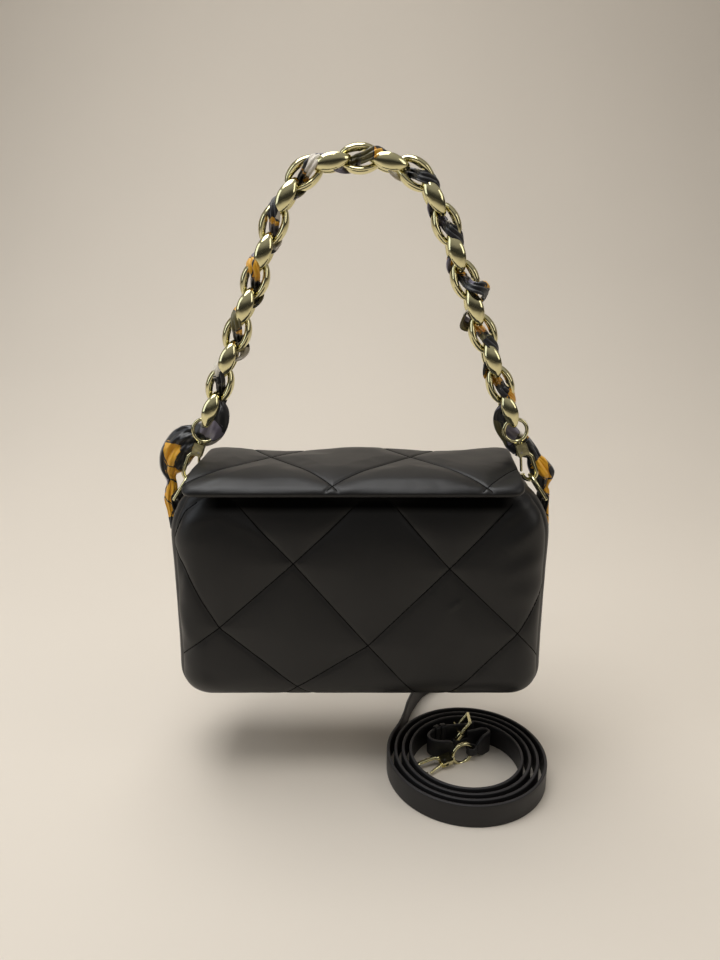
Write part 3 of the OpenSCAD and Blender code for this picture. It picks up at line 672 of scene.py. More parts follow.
def oval(length_, width, end_radius, turn):
    """Oval of four arcs, by the direction of its normal: round ends, and sides that touch them."""
    side_radius, meet = side_arc(length_, width, end_radius)
    c, s = np.cos(turn), np.sin(turn)
    on_side = np.abs(s) < math.sin(meet)
    x = np.where(on_side, np.sign(c) * (width / 2 - side_radius) + side_radius * c, end_radius * c)
    z = np.where(on_side, side_radius * s, np.sign(s) * (length_ / 2 - end_radius) + end_radius * s)
    return np.stack([x, z], -1)


def link_surface():
    """One link about its middle, with its length along Z:
    point(t, s) = middle(t) + half(t)·c(s) + Y·deep(t)·d(s).
    Middle and half lie between the outer oval and the hole's, the depth swells like a lens to the broad
    sides, and c and d are a circle drawn out a little to a soft ridge."""
    chain = bpy.context.scene.bag_chain
    end = chain.link_width * 0.4
    meet = side_arc(chain.link_length, chain.link_width, end)[1]
    quarter = np.concatenate([np.linspace(0, meet, 10)[:-1], np.linspace(meet, math.pi / 2, 9)[:-1]])
    back = quarter[:0:-1]
    turn = np.concatenate([quarter, math.pi - back, math.pi + quarter[1:], 2 * math.pi - back])
    turn = np.unique(np.round(np.concatenate([turn, [math.pi / 2, 3 * math.pi / 2]]), 9))
    outer = oval(chain.link_length, chain.link_width, end, turn)
    hole = oval(chain.link_length - 2 * chain.wire, chain.link_width - 2 * chain.band, end - chain.wire, turn)
    middle, half = (outer + hole) / 2, (outer - hole) / 2
    lens = ((chain.link_length / 2) ** 2 + (chain.depth / 2) ** 2) / chain.depth
    swell = np.sqrt(lens**2 - middle[:, 1] ** 2) - lens + chain.depth / 2
    deep = ((chain.wire / 2) ** 5 + np.clip(swell, 0, None) ** 5) ** 0.2
    s = np.linspace(0, 2 * math.pi, 28, endpoint=False)
    c, d = (np.sign(f) * np.abs(f) ** RIDGE for f in (np.cos(s), np.sin(s)))
    x = middle[:, :1] + half[:, :1] * c
    z = middle[:, 1:] + half[:, 1:] * c
    y = deep[:, None] * d
    return np.stack([x, y, z], -1)


def links_at(numbers):
    """Points and faces of links, by their numbers along the handle. Negative ones are on the left."""
    surface = link_surface()
    faces = grid_faces(*surface.shape[:2], True, True)
    middles, headings = chain_places()
    parts = []
    for k in numbers:
        middle, heading = middles[abs(k)], headings[abs(k)]
        over = np.cross(DEPTH, heading)
        side, deep = (over, DEPTH) if k % 2 == 0 else (DEPTH, over)
        points = middle + surface[..., :1] * side + surface[..., 1:2] * deep + surface[..., 2:] * heading
        if k < 0:
            points = points * [-1, 1, 1]
        parts.append((points.reshape(-1, 3), faces, np.zeros((surface[..., 0].size, 2))))
    return joined(parts)[:2]


class BAG_OT_chain(bpy.types.Operator):
    """Twenty-three polished links: five that hang from the peg and nine rows of two"""

    bl_idname = "bag.chain"
    bl_label = "Chain handle"

    def execute(self, context):
        groups = {"hung_links": ("Top_Links", "hung", range(-2, 3))}
        for n in ROWS:
            groups[f"chain_row_{n}"] = (f"Chain_Row_{n}", f"row_{n}", (n + 2, -n - 2))
        for node, (name, body, numbers) in groups.items():
            piece = make_piece(name, *links_at(numbers), gold())
            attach(piece, body)
            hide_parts(node)
        return {"FINISHED"}


# Scarf


def handle_axis(at):
    """Point and heading of the handle's middle line at a link number, which need not be whole."""
    middles = chain_places()[0]
    both = np.concatenate([(middles * [-1, 1, 1])[:0:-1], middles])
    beyond = both[-1] + (both[-1] - both[-2])
    both = np.concatenate([[beyond * [-1, 1, 1]], both, [beyond]])
    fine = smooth_curve(both, 16)
    where = np.linspace(-LAST_LINK - 1, LAST_LINK + 1, len(fine))
    return at_places(at, where, fine), unit(at_places(at, where, tangents(fine)))


# Link numbers at which the ribbon was pulled out a little, and by what share of its reach
LOOSE_LOOPS = ((6.5, 0.9), (7.5, 0.55), (-8.5, 0.35), (-5.5, 0.2))


def ribbon(first, last):
    """Ribbon that weaves through links first to last. With t the link number, it stands out by
    reach·tanh(3·sin(pi·t)), so it crosses each link's hole and turns outside it. The direction is
    -45°·(1 + cos(pi·t)) from the link's side, so it crosses face-on links front to back and edge-on ones
    sideways."""
    scarf = bpy.context.scene.bag_scarf
    steps = 26 * (last - first) + 1
    even = np.linspace(first, last, steps)
    t = even - 0.62 * np.sin(2 * math.pi * even) / (2 * math.pi)
    axis, heading = handle_axis(t)
    over = np.cross(heading, DEPTH)
    wave = np.sin(math.pi * t)
    poke = 1 + 0.06 * np.sin(2.7 * t + 0.6)
    for loop, more in LOOSE_LOOPS:
        poke += more * np.exp(-(((t - loop) / 0.4) ** 2))
    out = scarf.reach * poke * np.tanh(3 * wave) / math.tanh(3) * (1 + 0.2 * wave**2)
    angle = -math.pi / 4 * (1 + np.cos(math.pi * t))
    c, s = np.cos(angle)[:, None], np.sin(angle)[:, None]
    path = axis + out[:, None] * (c * over + s * DEPTH)
    across = -s * over + c * DEPTH
    half = scarf.in_hole + (scarf.outside - scarf.in_hole) * wave**2 * poke

    def folds(x, share):
        at = first + share * (last - first)
        crumple = 0.8 + 0.3 * np.sin(5 * at)
        return MM * crumple * (np.cos(2.6 * math.pi * x + 4 * at) * (1 - 0.35 * x * x) - 0.8 * (x * x))

    return cloth_band(path, across, half, folds, scarf.thickness)


# Outlines of the scarf's hanging ends, seen from the front: left side, right side and depth behind the plane
# of the chain, in millimetres
SCARF_ENDS = {
    "Scarf_Turn_Right": dict(
        left=[(104, -162), (98.6, -168), (97.3, -173), (98.3, -179.5), (101.3, -186.1),
              (106.2, -192.9), (110.4, -199), (116.5, -204)],
        right=[(108.6, -165), (110.4, -173), (114, -180.5), (118.5, -185), (123.4, -188.1)],
        depth=[1, 3, 6.5, 8.5, 9], puff=0.5, pleats=1.5,
    ),
    "Scarf_End_Right": dict(
        left=[(116.5, -204), (126, -207), (127, -213.2), (129.6, -220), (134, -229),
              (136.8, -236.1), (138.6, -244.5), (138.9, -252), (138.9, -259)],
        right=[(123.4, -188.1), (127.8, -192.9), (132.4, -198.9), (137.4, -204.3), (144, -211.9),
               (145.2, -215.4), (142.6, -221.5), (141.4, -225.6), (142.6, -230.5), (142.6, -241),
               (142.8, -248), (143, -259)],
        depth=[9, 9.6, 9.4, 8.8, 8, 7.2, 6, 4.2, 2.2, 1], puff=0.7, pleats=2.5,
    ),
    "Scarf_Turn_Left": dict(
        left=[(-104.5, -162), (-109, -168), (-112.4, -174), (-116, -178), (-121.5, -179.5)],
        right=[(-98.4, -159), (-94.6, -169), (-95.6, -179), (-101, -188), (-108, -193.6), (-118.5, -197)],
        depth=[-1, -3.5, -2, 4, 9], puff=0.5, pleats=1.5,
    ),
    "Scarf_End_Left": dict(
        left=[(-121.5, -179.5), (-130, -180.5), (-137.4, -184.5), (-143, -190), (-147, -197.5),
              (-148.4, -205), (-148, -212), (-145.4, -221), (-146.4, -228), (-147.4, -236),
              (-145.6, -246), (-143.6, -259)],
        right=[(-118.5, -197), (-120.4, -200), (-123.4, -203.6), (-126.4, -207), (-128.8, -211.5),
               (-131, -215), (-134.4, -219.5), (-137.6, -224), (-138, -230), (-139.6, -237),
               (-141, -246), (-139.6, -259)],
        depth=[9, 10, 10, 9.6, 9, 8, 7, 6, 4.6, 2.6, 1], puff=0.75, pleats=2.5,
    ),
}


def evenly(points, count):
    """The same line with that many points, evenly spaced along it."""
    run = run_length(points)
    return at_places(np.linspace(0, run[-1], count), run, points)


def outlined_band(left, right, depth, puff, pleats, count=72):
    """Gathered cloth between two outlines that run downwards. With x from -1 to 1 from left to right and h
    the half width, it swells towards the viewer by about h·puff·sqrt(1 - x²), with pleats that move sideways
    as they run down."""
    one, other = (evenly(smooth_curve(np.array(side) * MM, 8), count) for side in (left, right))
    middle, width = (one + other) / 2, other - one
    deep = np.interp(np.linspace(0, 1, count), np.linspace(0, 1, len(depth)), depth) * MM
    path = np.stack([middle[:, 0], deep, middle[:, 1]], -1)
    across = unit(np.stack([width[:, 0], np.zeros(count), width[:, 1]], -1))
    along = tangents(path)
    half = np.linalg.norm(width, axis=1) / 2
    square = across - (across * along).sum(1, keepdims=True) * along
    reach = half * np.linalg.norm(square, axis=1)

    def swell(x, share):
        h = np.interp(share[:, 0], np.linspace(0, 1, count), reach)[:, None]
        round_ = puff * h * np.sqrt(np.clip(1.04 - x * x, 0, 1))
        fold = np.cos(math.pi * (pleats * x + 1.3 * np.sin(5 * share) + 2 * share))
        fine = np.cos(math.pi * (2.3 * pleats * x - 3.4 * share))
        return round_ + 0.13 * h * fold + 0.05 * h * fine

    return cloth_band(path, across, reach, swell, bpy.context.scene.bag_scarf.thickness, 33)


class BAG_OT_scarf(bpy.types.Operator):
    """Printed scarf: one ribbon woven through every link, and its two ends beside the hooks"""

    bl_idname = "bag.scarf"
    bl_label = "Scarf"

    def execute(self, context):
        settings = context.scene.bag_scarf
        self.prints = [printed_satin(f"Printed_Satin_{i}", settings, 3.1 * i) for i in range(3)]
        top = self.finish("Scarf_Over_Top", ribbon(-2, 2), "scarf_top", ["hung_links"], 0, 0.0)
        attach(top, "hung")
        middles, _ = chain_places()
        for n in ROWS:
            for side, span in (("Right", (n + 1, n + 2)), ("Left", (-n - 2, -n - 1))):
                shift = 0.37 * n + (side == "Left") * 0.5
                name, node, carrier = f"Scarf_{side}_{n}", f"scarf_row_{n}", [f"chain_row_{n}"]
                piece = self.finish(name, ribbon(*span), node, carrier, n % 3, shift)
                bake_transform(piece)
        for name, shape in SCARF_ENDS.items():
            turn = "Turn" in name
            node = "scarf_tails" if turn else "scarf_ends"
            piece = self.finish(name, outlined_band(**shape), node, ["swivel_rings"], 1 if turn else 2, 0.21)
            if turn:
                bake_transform(piece)
            else:
                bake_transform(piece)
        return {"FINISHED"}

    def finish(self, name, band, node, rests_on, tint, shift):
        """One piece of the scarf, with its part of the print moved along by shift."""
        points, faces, uv, flat = band
        piece = make_piece(name, points, faces, self.prints[tint], uv + [shift, 0])
        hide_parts(node)
        return piece


# Swivel hooks and rings


class BAG_OT_hooks(bpy.types.Operator):
    """Swivel rings, hooks, gates, D rings and the buckle keep their frame shapes and are plated"""

    bl_idname = "bag.hooks"
    bl_label = "Hooks and rings"

    def execute(self, context):
        endings = ("hook", "gate", "_d_ring", "rings")
        plated = [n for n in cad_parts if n.endswith(endings) or n.startswith("buckle")]
        dress(plated, gold())
        steel = polished_metal("Pin_Steel", (0.62, 0.60, 0.56), 0.22)
        dress([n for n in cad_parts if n.endswith("gate_pin")], steel)
        dress(["rim_magnets", "flap_magnets"], steel)
        return {"FINISHED"}


# Body

# Quilting seams of the front, seen from the front: distance along the panel from its middle, and height
T0, TL, TR = (11.6, -214), (-97, -214), (124, -206)
M1, M2, ML, MR = (-46.9, -269.1), (63.1, -272.9), (-138, -256), (146, -272)
B0, BL, BR, Q1 = (5.8, -333.0), (-101.4, -318.6), (113.9, -323.4), (-46.4, -366.7)
PANEL_SEAMS = [
    [T0, M1, BL, (-140, -348)],
    [TL, M1, B0, (57, -392)],
    [T0, M2, BR, (140, -350)],
    [TR, M2, B0, Q1, (-75, -392)],
    [ML, (-123.6, -276), (-112.7, -298), BL, Q1, (-17, -392)],
    [ML, (-124, -232), TL],
    [MR, (129, -299), BR, (50, -392)],
    [MR, (138, -238), TR],
]
# Soft folds of the front, in the same measures: from, to, height and half breadth
PANEL_FOLDS = [
    ((124, -219), (97, -240), 1.3, 4.5),
    ((130, -232), (101, -259), 1.2, 6.0),
    ((134, -262), (98, -279), 1.0, 7.0),
    ((135, -290), (104, -293), 0.8, 8.0),
    ((122, -214), (114, -226), -1.6, 1.8),
    ((-139, -231), (-112, -219), 1.2, 2.4),
    ((-122, -240), (-98, -232), 0.9, 5.0),
    ((-98, -232), (-60, -251), 0.9, 5.0),
    ((-133, -300), (-122, -332), 1.3, 6.0),
    ((-126, -268), (-132, -292), -0.9, 3.5),
    ((-118, -360), (-104, -364), 0.8, 6.0),
    ((72, -296), (62, -304), 0.5, 2.0),
]


def to_seams(p, seams):
    """Distance of each point from the nearest of the broken lines, in metres."""
    best = np.full(len(p), 1.0)
    for seam in seams:
        corners = np.array(seam) * MM
        for a, b in zip(corners[:-1], corners[1:]):
            ab = b - a
            t = np.clip(((p - a) @ ab) / (ab @ ab), 0, 1)
            best = np.minimum(best, np.linalg.norm(p - a - t[:, None] * ab, axis=1))
    return best


RIM_RISE = 0.6 * MM
# Radius of the lower corners and height of the shoulders, as shares of the body's height
LOWER_CORNER, SHOULDER = 0.13, 0.22
# Radius of the corners in plan and of the shoulder's curve from the front to the back, as shares of the depth
PLAN_CORNER, SHOULDER_DEEP = 0.24, 1.4
# Radius of the shoulder's curve from side to side, as a share of the width
SHOULDER_WIDE = 0.17
# Least radius that a corner in plan keeps
LEAST_CORNER = 3 * MM
# Share of its crown that padding has before it swells in the simulation
CROWN_BEFORE = 0.75
# Height of the middle of the tabs on the body's ends, and half the breadth of the flat oval under them
TAB_MIDDLE, TAB_HALF = -250 * MM, 8 * MM
# Half thickness of the thread
THREAD = 0.42 * MM
# Points closer than this are one
MERGE = 0.05 * MM
# Spacing of the points at which a seam is looked for on a piece
SEAM_STEP = 1.5 * MM
# How far the simulation may move the body's skin, and how far from a seam and from the rim it is held
BODY_SWELL, BODY_HELD, RIM_HELD = 1.4 * MM, 2.6 * MM, 3 * MM
# Depth and breadth of the crease along each of the body's seams
BODY_CREASE = (0.7 * MM, 1.2 * MM)
# Distances below the rim over which the creases and folds, the padding and the recess come in
FOLDS_FROM, PADDING_FROM, RECESS_FROM = 4 * MM, 6 * MM, 9 * MM
# Distance from the front's middle at which 0.15 of the recess under the lip is left
RECESS_HALF = 115 * MM


class BodyForm:
    """The body's outline at each height, from the frame: straight sides, round lower corners, and shoulders
    that draw in."""

    def __init__(self):
        low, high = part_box("front_panel")
        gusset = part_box("right_gusset")[1]
        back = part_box("back_panel")[1]
        self.half_x, self.half_y = gusset.x, back.y
        self.base, self.rim = low.z, high.z
        self.height = self.rim - self.base
        self.low_r = self.height * LOWER_CORNER
        self.plan_r = 2 * self.half_y * PLAN_CORNER
        self.shoulder = self.rim - self.height * SHOULDER
        self.top_x, self.top_y = 2 * self.half_x * SHOULDER_WIDE, 2 * self.half_y * SHOULDER_DEEP

    def half(self, z, half, top):
        """Half width or half depth at heights z, from the widest one and the shoulder's radius."""
        up = np.clip(z - self.shoulder, 0, None)
        down = np.clip(self.base + self.low_r - z, 0, self.low_r)
        upper = half - top + np.sqrt(top**2 - up**2)
        return upper - self.low_r + np.sqrt(self.low_r**2 - down**2)

    def ring(self, z, inset=0.0):
        """Half width, half depth and corner radius at heights z, drawn in by inset."""
        x, y = self.half(z, self.half_x, self.top_x), self.half(z, self.half_y, self.top_y)
        lower = 0.75 * (self.half_x - x) * (z < self.shoulder)
        upper = 0.15 * (self.half_y - y) * (z > self.shoulder)
        corner = self.plan_r - lower - upper
        return x - inset, y - inset, np.maximum(corner - inset, LEAST_CORNER)


def rounded_rings(x, y, corner, counts):
    """Rings of points round rectangles with round corners, from the middle of the front towards +X."""
    n_x, n_c, n_y = counts
    a, b = (x - corner)[:, None], (y - corner)[:, None]
    r = corner[:, None]
    sx, sy = np.arange(n_x)[None] / n_x, np.arange(2 * n_y)[None] / n_y - 1
    full = np.arange(2 * n_x)[None] / n_x - 1
    turn = np.arange(n_c)[None] / n_c * math.pi / 2
    s, c = np.sin(turn), np.cos(turn)
    one = np.ones_like
    stretches = [
        (a * sx, -(b + r) * one(sx)),
        (a + r * s, -b - r * c),
        ((a + r) * one(sy), b * sy),
        (a + r * c, b + r * s),
        (-a * full, (b + r) * one(full)),
        (-a - r * s, b + r * c),
        (-(a + r) * one(sy), -b * sy),
        (-a - r * c, -b - r * s),
        (-a + a * sx, -(b + r) * one(sx)),
    ]
    xs, ys = zip(*stretches)
    return np.concatenate(xs, 1), np.concatenate(ys, 1)


def body_profile(form, spacing):
    """Outer rings from the rim down the side, round the lower edge and in to the base's middle line: half
    width, half depth, corner radius, height, and the angle by which the skin has turned from upright."""
    side = np.linspace(form.rim, form.base + form.low_r, int((form.height - form.low_r) / spacing))
    turn = np.linspace(0, math.pi / 2, int(form.low_r * 1.57 / spacing) + 1)[1:]
    z = np.concatenate([side, form.base + form.low_r * (1 - np.sin(turn))])
    x, y, corner = form.ring(z)
    inward = np.linspace(0, y[-1], int(y[-1] / spacing) + 1)[1:]
    x, y, corner = (np.concatenate([v, v[-1] - inward]) for v in (x, y, corner))
    z = np.concatenate([z, np.full(len(inward), z[-1])])
    turn = np.concatenate([np.zeros(len(side)), turn, np.full(len(inward), math.pi / 2)])
    return x, y, corner, z, turn


def body_grid(form, spacing, wall):
    """The whole wall as one grid: rings from the middle of the floor up the inside, over the round rim, down
    the outside and in to the base's middle line. Returns it with a mark on each outer row."""
    outer = body_profile(form, spacing)
    x, y, corner, z, turn = (v[::-1] for v in body_profile(form, 3 * spacing))
    inset = wall * np.cos(turn)
    inner = x - inset, y - inset, corner - inset, z + wall * np.sin(turn)
    over = np.linspace(math.pi, 0, 7)[1:-1]
    inset = wall * (1 - np.cos(over)) / 2
    top = [v[0] - inset for v in outer[:3]] + [form.rim + RIM_RISE * np.sin(over)]
    x, y, corner, z = (np.concatenate(rows) for rows in zip(inner, top, outer[:4]))
    corner = np.clip(corner, 0, y)
    sides = (form.half_x - form.plan_r, form.plan_r * 1.57, form.half_y - form.plan_r)
    px, py = rounded_rings(x, y, corner, [int(side / spacing) for side in sides])
    pz = np.broadcast_to(z[:, None], px.shape)
    return np.stack([px, py, pz], -1), np.arange(len(z)) >= len(z) - len(outer[0])


def ring_places(grid):
    """Each point's distance along its ring from the middle of the front or of the back."""
    step = np.linalg.norm(np.roll(grid, -1, 1) - grid, axis=2)
    along = np.cumsum(step, 1) - step
    whole = step.sum(1, keepdims=True)
    return (along + whole / 4) % np.maximum(whole / 2, MM) - whole / 4


def quilt_height(distance, crown, reach, sink):
    """Height over the form: down by sink on a seam, rising as a quarter circle does to crown at reach."""
    t = 1 - np.clip(distance / reach, 0, 1)
    return crown * np.sqrt(1 - t * t) - sink


def crease_height(distance, depth, breadth):
    """Narrow valley along a seam."""
    return -depth * np.exp(-((distance / breadth) ** 2))


def fold_height(p, folds):
    """Ridges along short lines: each is height·sqrt(sin(pi·t))·exp(-(d / breadth)²) at share t along it
    and distance d from it."""
    total = np.zeros(len(p))
    for start, end, height, breadth in folds:
        a, ab = np.array(start) * MM, (np.array(end) - start) * MM
        t = np.clip(((p - a) @ ab) / (ab @ ab), 0, 1)
        away = np.linalg.norm(p - a - t[:, None] * ab, axis=1) / (breadth * MM)
        total += height * MM * np.sqrt(np.sin(math.pi * np.clip(t, 0.02, 0.98))) * np.exp(-(away**2))
    return total


class BAG_OT_body(bpy.types.Operator):
    """Padded body: one quilted wall from floor to rim and down to the base, swollen between its seams"""

    bl_idname = "bag.body"
    bl_label = "Quilted body"

    def execute(self, context):
        body, form = context.scene.bag_body, BodyForm()
        grid, outer = body_grid(form, body.mesh, body.wall)
        u, z = ring_places(grid), grid[..., 2]
        x, _, corner = form.ring(np.clip(z, form.base, form.rim))
        to_corner = x - corner + corner * math.pi / 3 - np.abs(u)
        skin = np.broadcast_to(outer[:, None], u.shape)
        marks = {
            "place": np.stack([u, z, np.sign(grid[..., 1])], -1).reshape(-1, 3),
            "panel": np.stack([to_corner, skin, grid[..., 1]], -1).reshape(-1, 3),
        }
        faces = grid_faces(*u.shape, False, True)
        points = grid.reshape(-1, 3)
        made = make_piece("Quilted_Body", points, faces, black_leather(), merge=MERGE, marks=marks)
        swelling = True
        level, distance = self.relief(made, form, CROWN_BEFORE if swelling else 1.0)
        place(made, points_of(made) + normals_of(made) * level[:, None])
        if swelling:
            panel = read_attribute(made, "panel")
            near_rim = form.rim - points_of(made)[:, 2] < RIM_HELD
            held = (distance < BODY_HELD) | (panel[:, 1] < 0.99) | near_rim
            settle(made, held, body.pressure, BODY_SWELL)
        subdivide(made)
        level, distance = self.relief(made, form, 0.0)
        panel, spot = read_attribute(made, "panel"), read_attribute(made, "place")
        folds = fold_height(spot[:, :2], PANEL_FOLDS) * (spot[:, 2] < 0)
        below = np.clip((form.rim - spot[:, 1]) / FOLDS_FROM, 0, 1)
        shape = (crease_height(distance, *BODY_CREASE) + folds) * panel[:, 1] * below
        place(made, points_of(made) + normals_of(made) * shape[:, None])
        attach(made, "bag")
        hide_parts("front_panel", "back_panel", "right_gusset", "left_gusset", "base_panel")
        thread = sewn("Quilting_Thread_And_Shade", made, self.seam_lines(form), body.stitch, THREAD)
        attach(thread, "bag")
        return {"FINISHED"}

    def relief(self, obj, form, share):
        """Height of the padding over the form at the object's points, with that share of its crown, and the
        distance of each point from the nearest seam."""
        body = bpy.context.scene.bag_body
        (u, z, face), (to_corner, skin, y) = read_attribute(obj, "place").T, read_attribute(obj, "panel").T
        on_front = to_corner > 0
        quilt = np.where(on_front, to_seams(np.stack([u, z], -1), PANEL_SEAMS), 1.0)
        tab = np.hypot(y, (z - TAB_MIDDLE) / 1.6)
        gusset = np.where(on_front, 1.0, np.maximum(tab - TAB_HALF, 0))
        base = np.where(z < form.base + 0.5 * MM, np.maximum(form.half_y - form.low_r - np.abs(y), 0), 1.0)
        seams = np.minimum.reduce([quilt, np.abs(to_corner), base])
        distance = np.minimum(seams, gusset)
        below = form.rim - z
        level = quilt_height(distance, share * body.crown, body.crown_reach, body.sink)
        calm = np.clip((z - form.base) / body.calm, 0, 1)
        calm = calm * calm * (3 - 2 * calm)
        level = calm * level + (1 - calm) * (0.55 * share * body.crown)
        level *= np.clip(below / PADDING_FROM, 0, 1)
        deep = np.clip(below / RECESS_FROM, 0, 9)
        under_lip = (face < 0) * np.clip(1.15 - (u / RECESS_HALF) ** 2, 0, 1)
        level -= body.recess * deep * np.exp(1 - deep) * under_lip
        return level * skin, seams

    def seam_lines(self, form):
        """Points on the form along each seam of the front and the back, and the outward directions there."""
        lines = []
        for corners in PANEL_SEAMS:
            u, z = drawn(corners, SEAM_STEP).T
            kept = (z > form.base + 1 * MM) & (z < form.rim - 6 * MM)
            u, z = u[kept], z[kept]
            x, y, corner = form.ring(z)
            bend = np.clip(np.abs(u) - (x - corner), 0, None) / corner
            kept = bend < math.pi / 3
            u, z, x, y, corner, bend = (v[kept] for v in (u, z, x, y, corner, bend))
            down = np.clip((form.base + form.low_r - z) / form.low_r, 0, 0.98)
            for face in (-1, 1):
                side = -face * np.sign(u)
                px = side * (np.minimum(np.abs(u), x - corner) + corner * np.sin(bend))
                py = face * (y - corner + corner * np.cos(bend))
                level = np.sqrt(1 - down**2)
                outward = np.stack([side * np.sin(bend) * level, face * np.cos(bend) * level, -down], -1)
                lines.append((np.stack([px, py, z], -1), outward))
        return lines


def thread_and_seam_shade_material():
    found = bpy.data.materials.get("Thread_And_Seam_Shade")
    if found:
        return found
    material, tree, shader = new_material("Thread_And_Seam_Shade")
    where = object_coordinates(tree)
    twist = add_node(tree, "ShaderNodeTexWave", {"Vector": where, "Scale": 900.0, "Distortion": 1.0})
    # Near black and nearly glossless, darker than the leather: partly the thread's own black, and partly
    # painted shade that makes the seams read as dark lines
    dull, clear = (0.001, 0.001, 0.001), (0.003, 0.003, 0.003)
    tree.links.new(two_colours(tree, twist.outputs["Fac"], dull, clear), shader.inputs["Base Color"])
    shader.inputs["Roughness"].default_value = 0.75
    shader.inputs["Specular IOR Level"].default_value = 0.08
    bump(tree, shader, twist.outputs["Fac"], 0.4, 0.0001)
    return material


# Flap

# Quilting seams of the flap, seen from above
F1, F2, F3, F4 = (-67, 14), (38.2, 14), (-18.8, -47), (86, -49)
FLAP_SEAMS = [
    [(-124, -49), F1, (-39, 52)],
    [(-88, 52), F1, F3, (-11, -58)],
    [(-27, -58), F3, F2, (63, 52)],
    [(14, 52), F2, F4, (94, -58)],
    [(78, -58), F4, (113, -18), (126, -6)],
]


# Distance from a seam at which the flap's diamonds are fullest
FLAP_REACH = 26 * MM
# Distances from the back edge over which the quilting fades and the top is lowered, and by how much
FADE, LOWERED, LOWERED_BY = 9 * MM, 16 * MM, 1.3 * MM
# Distance from the back edge over which its waves die away, their length over 2·pi, and where one is highest
WAVE_FADE, WAVE_RUN, WAVE_START = 24 * MM, 18.8 * MM, 2 * MM
# How far the simulation may move the flap's skin, and how far from a seam it is held
FLAP_SWELL, FLAP_HELD = 0.9 * MM, 2.4 * MM
# Depth and breadth of the crease along each of the flap's seams
FLAP_CREASE = (0.5 * MM, 1.1 * MM)
# How far the lining's edge lies inside the flap's, and the breadth of its rounding
LINING_INSET, LINING_EDGE = 6 * MM, 0.6 * MM


class FlapForm:
    """The flap's outline and thickness, from the frame: a rounded rectangle that thins towards its lip."""

    def __init__(self):
        front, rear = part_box("flap_front"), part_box("flap_rear")
        self.lip, self.back = front[0].y, rear[1].y
        self.low, self.top = front[0].z, front[1].z
        self.half_lip, self.half_back = front[1].x - 2 * MM, rear[1].x + 1.5 * MM
        self.fold = rear[0].y

    def thin(self, y):
        """Share of the flap's thickness that is left at depth y."""
        flap = bpy.context.scene.bag_flap
        near = np.clip(1 - (y - self.lip) / flap.droop_from, 0, 1)
        return 1 - flap.droop * near**2

    def bend(self, grid):
        """Thins the flap's points towards the lip and lets the lip sag."""
        share = self.thin(grid[..., 1])
        sag = bpy.context.scene.bag_flap.sag * (1 - share) / bpy.context.scene.bag_flap.droop
        grid[..., 2] = self.low + (grid[..., 2] - self.low) * share - sag

    def rings(self, inset, edge, rise, middle):
        """Rings of a rounded rectangle from its edge in to its middle line, raised over the edge as a quarter
        circle."""
        centre, half_y = (self.lip + self.back) / 2, (self.back - self.lip) / 2 - inset
        turn = np.linspace(0, math.pi / 2, 7)
        inward = np.concatenate([edge * (1 - np.cos(turn)), np.linspace(edge, half_y, 26)[1:]])
        lifted = np.concatenate([rise * np.sin(turn), np.full(25, rise)])
        half_x = self.half_lip - inset
        x, y = half_x - inward, np.maximum(half_y - inward, 0)
        px, py = rounded_rings(x, y, np.minimum(9 * MM, y), (72, 6, 26))
        share = (py / half_y + 1) / 2
        shift = -bpy.context.scene.bag_flap.lip_shift * (1 - share)
        narrow = 1 + ((self.half_back - inset) / half_x - 1) * share
        z = middle + lifted[:, None] * np.ones_like(px)
        return np.stack([px * narrow + shift, py + centre, z], -1)

    def pillow(self, inset, edge, low, high):
        """Closed pillow between two heights, from the middle of its underside round its edge to the middle of
        its top."""
        middle, half = (low + high) / 2, (high - low) / 2
        under = self.rings(inset, edge, -half, middle)
        upper = self.rings(inset, edge, half, middle)
        return np.concatenate([under[:0:-1], upper])


